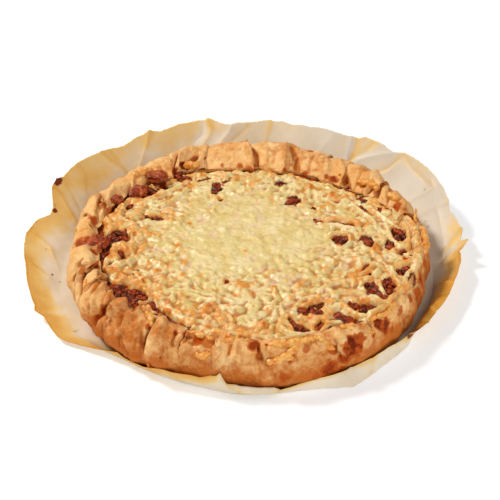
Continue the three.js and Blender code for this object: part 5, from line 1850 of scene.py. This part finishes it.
    def build(self) -> None:
        """Makes the sheet."""
        azimuth = np.linspace(0, 360, self.columns + 1)
        table = np.array(self.stations, float)
        fold, reach, lift, ridge = (round_table(table, azimuth, k, smooth=False) for k in (1, 2, 3, 4))
        ragged = pattern(87, azimuth * 0.4) + 0.4 * pattern(89, azimuth * 1.9, z=3)
        open_share = smooth_step(reach - fold, 8, 24)
        span = np.maximum(self.evened(reach - fold), 6.0)[:, None]
        end_height = self.evened(lift)[:, None]
        steep = np.clip(np.sin(np.radians(azimuth)), 0, 1)
        even_reach = self.evened(reach)
        reach = even_reach + (reach - even_reach) * blend(1.0, blend(1.0, 0.4, steep), open_share)
        reach = reach + (0.15 + 0.25 * open_share) * ragged
        share = np.linspace(0, 1, self.rise_rows)[None, :]
        radius = blend(fold[:, None], reach[:, None], share)
        power = blend(1.0, 1.35, open_share)[:, None]
        raised, tint = self.creased(azimuth, radius, open_share)
        edge_share = smooth_step(share, 0.03, 0.4) * np.minimum(1, lift[:, None] / 9)
        bent = lift[:, None] * share**power + ridge[:, None] * np.sin(np.pi * share**0.7)
        swept = end_height * (np.maximum(radius - fold[:, None], 0) / span) ** power
        height = blend(bent, swept, open_share[:, None]) + raised * edge_share
        height = np.maximum(height, 0) + self.flat_level
        height[:, -1:] += (0.25 * ragged * smooth_step(lift, 3, 8))[:, None]
        wave = 0.5 * pattern(81, azimuth * 0.35, z=9)
        radius = radius + wave[:, None] * share * (1 - open_share[:, None])
        rising = polar(azimuth[:, None], radius, height)
        flat = [polar(azimuth, fold * part, self.flat_level) for part in self.flat_rows]
        points = np.concatenate([np.stack(flat, axis=1), rising], axis=1)
        points[-1] = points[0]
        tint = np.concatenate([np.zeros((len(azimuth), len(flat))), tint], axis=1)
        piece = grid_piece("paper_sheet", points, self.masks(points, azimuth, open_share, tint))
        edit(piece, weld)
        apply_modifier(piece, "SOLIDIFY", thickness=self.thickness * MM, offset=-1.0)
        edit(piece, face_outwards)
        self.hand_over(piece)

    def masks(self, points: Array, azimuth: Array, open_share: Array, tint: Array) -> dict[str, Array]:
        """Where the paper is browned, where painted shade greys its right side, and where it is scorched.
        """
        step = np.linalg.norm(np.diff(points, axis=1), axis=-1)
        to_edge = np.cumsum(step[:, ::-1], axis=1)[:, ::-1]
        to_edge = np.concatenate([to_edge, np.zeros((len(points), 1))], axis=1)
        table = np.array(self.browning, float)
        strength = round_table(table, azimuth, 1)[:, None]
        width = round_table(table, azimuth, 2)[:, None]
        streak = pattern(93, np.radians(azimuth)[:, None] * PAPER_RADIUS / 6, to_edge / 30)
        rough = layered_noise(points, 17.0, 97, 3)
        fade = 1 - to_edge / width + 0.3 * rough + 0.07 * streak * open_share[:, None]
        band = strength * smooth_step(fade, -0.75, 0.85)
        rim = 0.3 * strength * smooth_step(2.2 + 1.2 * rough - to_edge, 0, 2.2)
        # The creases' tint adds golden streaks and, below 0, painted highlights.
        brown = band + rim + 0.7 * tint + 0.1 * rough
        # Painted shade: the right side of the sheet is greyed.
        right_side_shade = smooth_step(points[..., 0] + 0.4 * points[..., 1], 70, 150)
        return {"brown": brown, "right_side_shade": right_side_shade, "scorch": spotted(points, self.scorches, 0.5, 99)}


@dataclass
class Studio:
    """The floor, the lights and the camera."""

    target: tuple[float, float, float] = (1.2, 0.0, 21.0)
    elevation: float = 36.0
    distance: float = 1000.0
    focal_pixels: float = 1328.0
    picture: float = 500.0
    sensor: float = 36.0

    def camera(self) -> None:
        """Sets the camera where the photograph was taken from."""
        rise = math.radians(self.elevation)
        place = Vector(self.target) + self.distance * Vector((0, -math.cos(rise), math.sin(rise)))
        data = bpy.data.cameras.new("camera")
        data.sensor_width = self.sensor
        data.lens = self.focal_pixels / self.picture * self.sensor
        data.clip_start = 0.01
        camera = bpy.data.objects.new("camera", data)
        camera.location = place * MM
        camera.rotation_euler = (math.radians(90 - self.elevation), 0, 0)
        bpy.context.scene.collection.objects.link(camera)
        bpy.context.scene.camera = camera

    def floor(self) -> None:
        """Adds a plain pale floor."""
        bpy.ops.object.select_all(action="DESELECT")
        bpy.ops.mesh.primitive_plane_add(size=12, location=(0, 0, -0.0004))
        floor = bpy.context.active_object
        floor.name = "floor"
        bpy.ops.object.transform_apply(location=True, rotation=True, scale=True)
        material = bpy.data.materials.new("floor")
        material.use_nodes = True
        shader = material.node_tree.nodes["Principled BSDF"]
        glow = {"Emission Color": (1, 1, 1, 1), "Emission Strength": 0.24}
        looks = {"Base Color": (0.78, 0.78, 0.78, 1), "Roughness": 0.9, "Specular IOR Level": 0.1}
        for name, value in {**looks, **glow}.items():
            shader.inputs[name].default_value = value
        floor.data.materials.append(material)

    def light(self, name: str, place: tuple, size: float, power: float) -> None:
        """Adds a square soft light that faces the pie."""
        data = bpy.data.lights.new(name, "AREA")
        data.size = size
        data.energy = power
        light = bpy.data.objects.new(name, data)
        light.location = place
        light.rotation_euler = (-Vector(place)).to_track_quat("-Z", "Y").to_euler()
        bpy.context.scene.collection.objects.link(light)

    def build(self) -> None:
        """Sets up the whole studio."""
        self.camera()
        self.floor()
        self.light("key", (-2.9, 1.4, 3.4), 1.0, 148.0)
        self.light("front_fill", (1.2, -4.2, 2.2), 3.0, 74.0)
        self.light("right_fill", (2.3, -1.2, 3.6), 3.0, 42.0)
        world = bpy.data.worlds.new("studio")
        world.use_nodes = True
        background = world.node_tree.nodes["Background"]
        background.inputs["Color"].default_value = (1, 1, 1, 1)
        background.inputs["Strength"].default_value = 0.27
        bpy.context.scene.world = world
        bpy.context.scene.view_settings.view_transform = "Standard"
        bpy.context.scene.view_settings.look = "Medium High Contrast"


def main() -> None:
    """Builds every piece in order."""
    logging.basicConfig(level=logging.INFO, format="%(name)s %(message)s")
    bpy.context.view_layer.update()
    Studio().build()
    effects = Effects()
    rim = Rim()
    Paper(PaperFinish(effects), Slot.PAPER, ("paper",)).build()
    Crust(CrustFinish(effects), Slot.CRUST, ("crust",), rim=rim).build()
    Filling(MeatFinish(effects, "mince"), Slot.FILLING, ("filling",)).build()
    Cheese(CheeseFinish(effects), Slot.CHEESE, ("cheese",), rim=rim).build()
    browned = {"dark": srgb(124, 50, 22), "red": srgb(184, 86, 42), "fat": srgb(222, 146, 90), "shine": 0.3}
    MeatLumps(MeatFinish(effects, "browned_meat", **browned), Slot.MEAT).build()
    crisp = CheeseFinish(effects, "crisp_cheese", light=srgb(236, 188, 108), deep=srgb(214, 140, 56))
    Scraps(crisp, Slot.CHEESE, name="cheese_drips", scraps=CHEESE_SCRAPS).build()
    dough = CrustFinish(effects, "dough_scraps")
    Scraps(dough, Slot.CRUST, name="dough_flaps", scraps=DOUGH_SCRAPS).build()


if __name__ == "__main__":
    main()
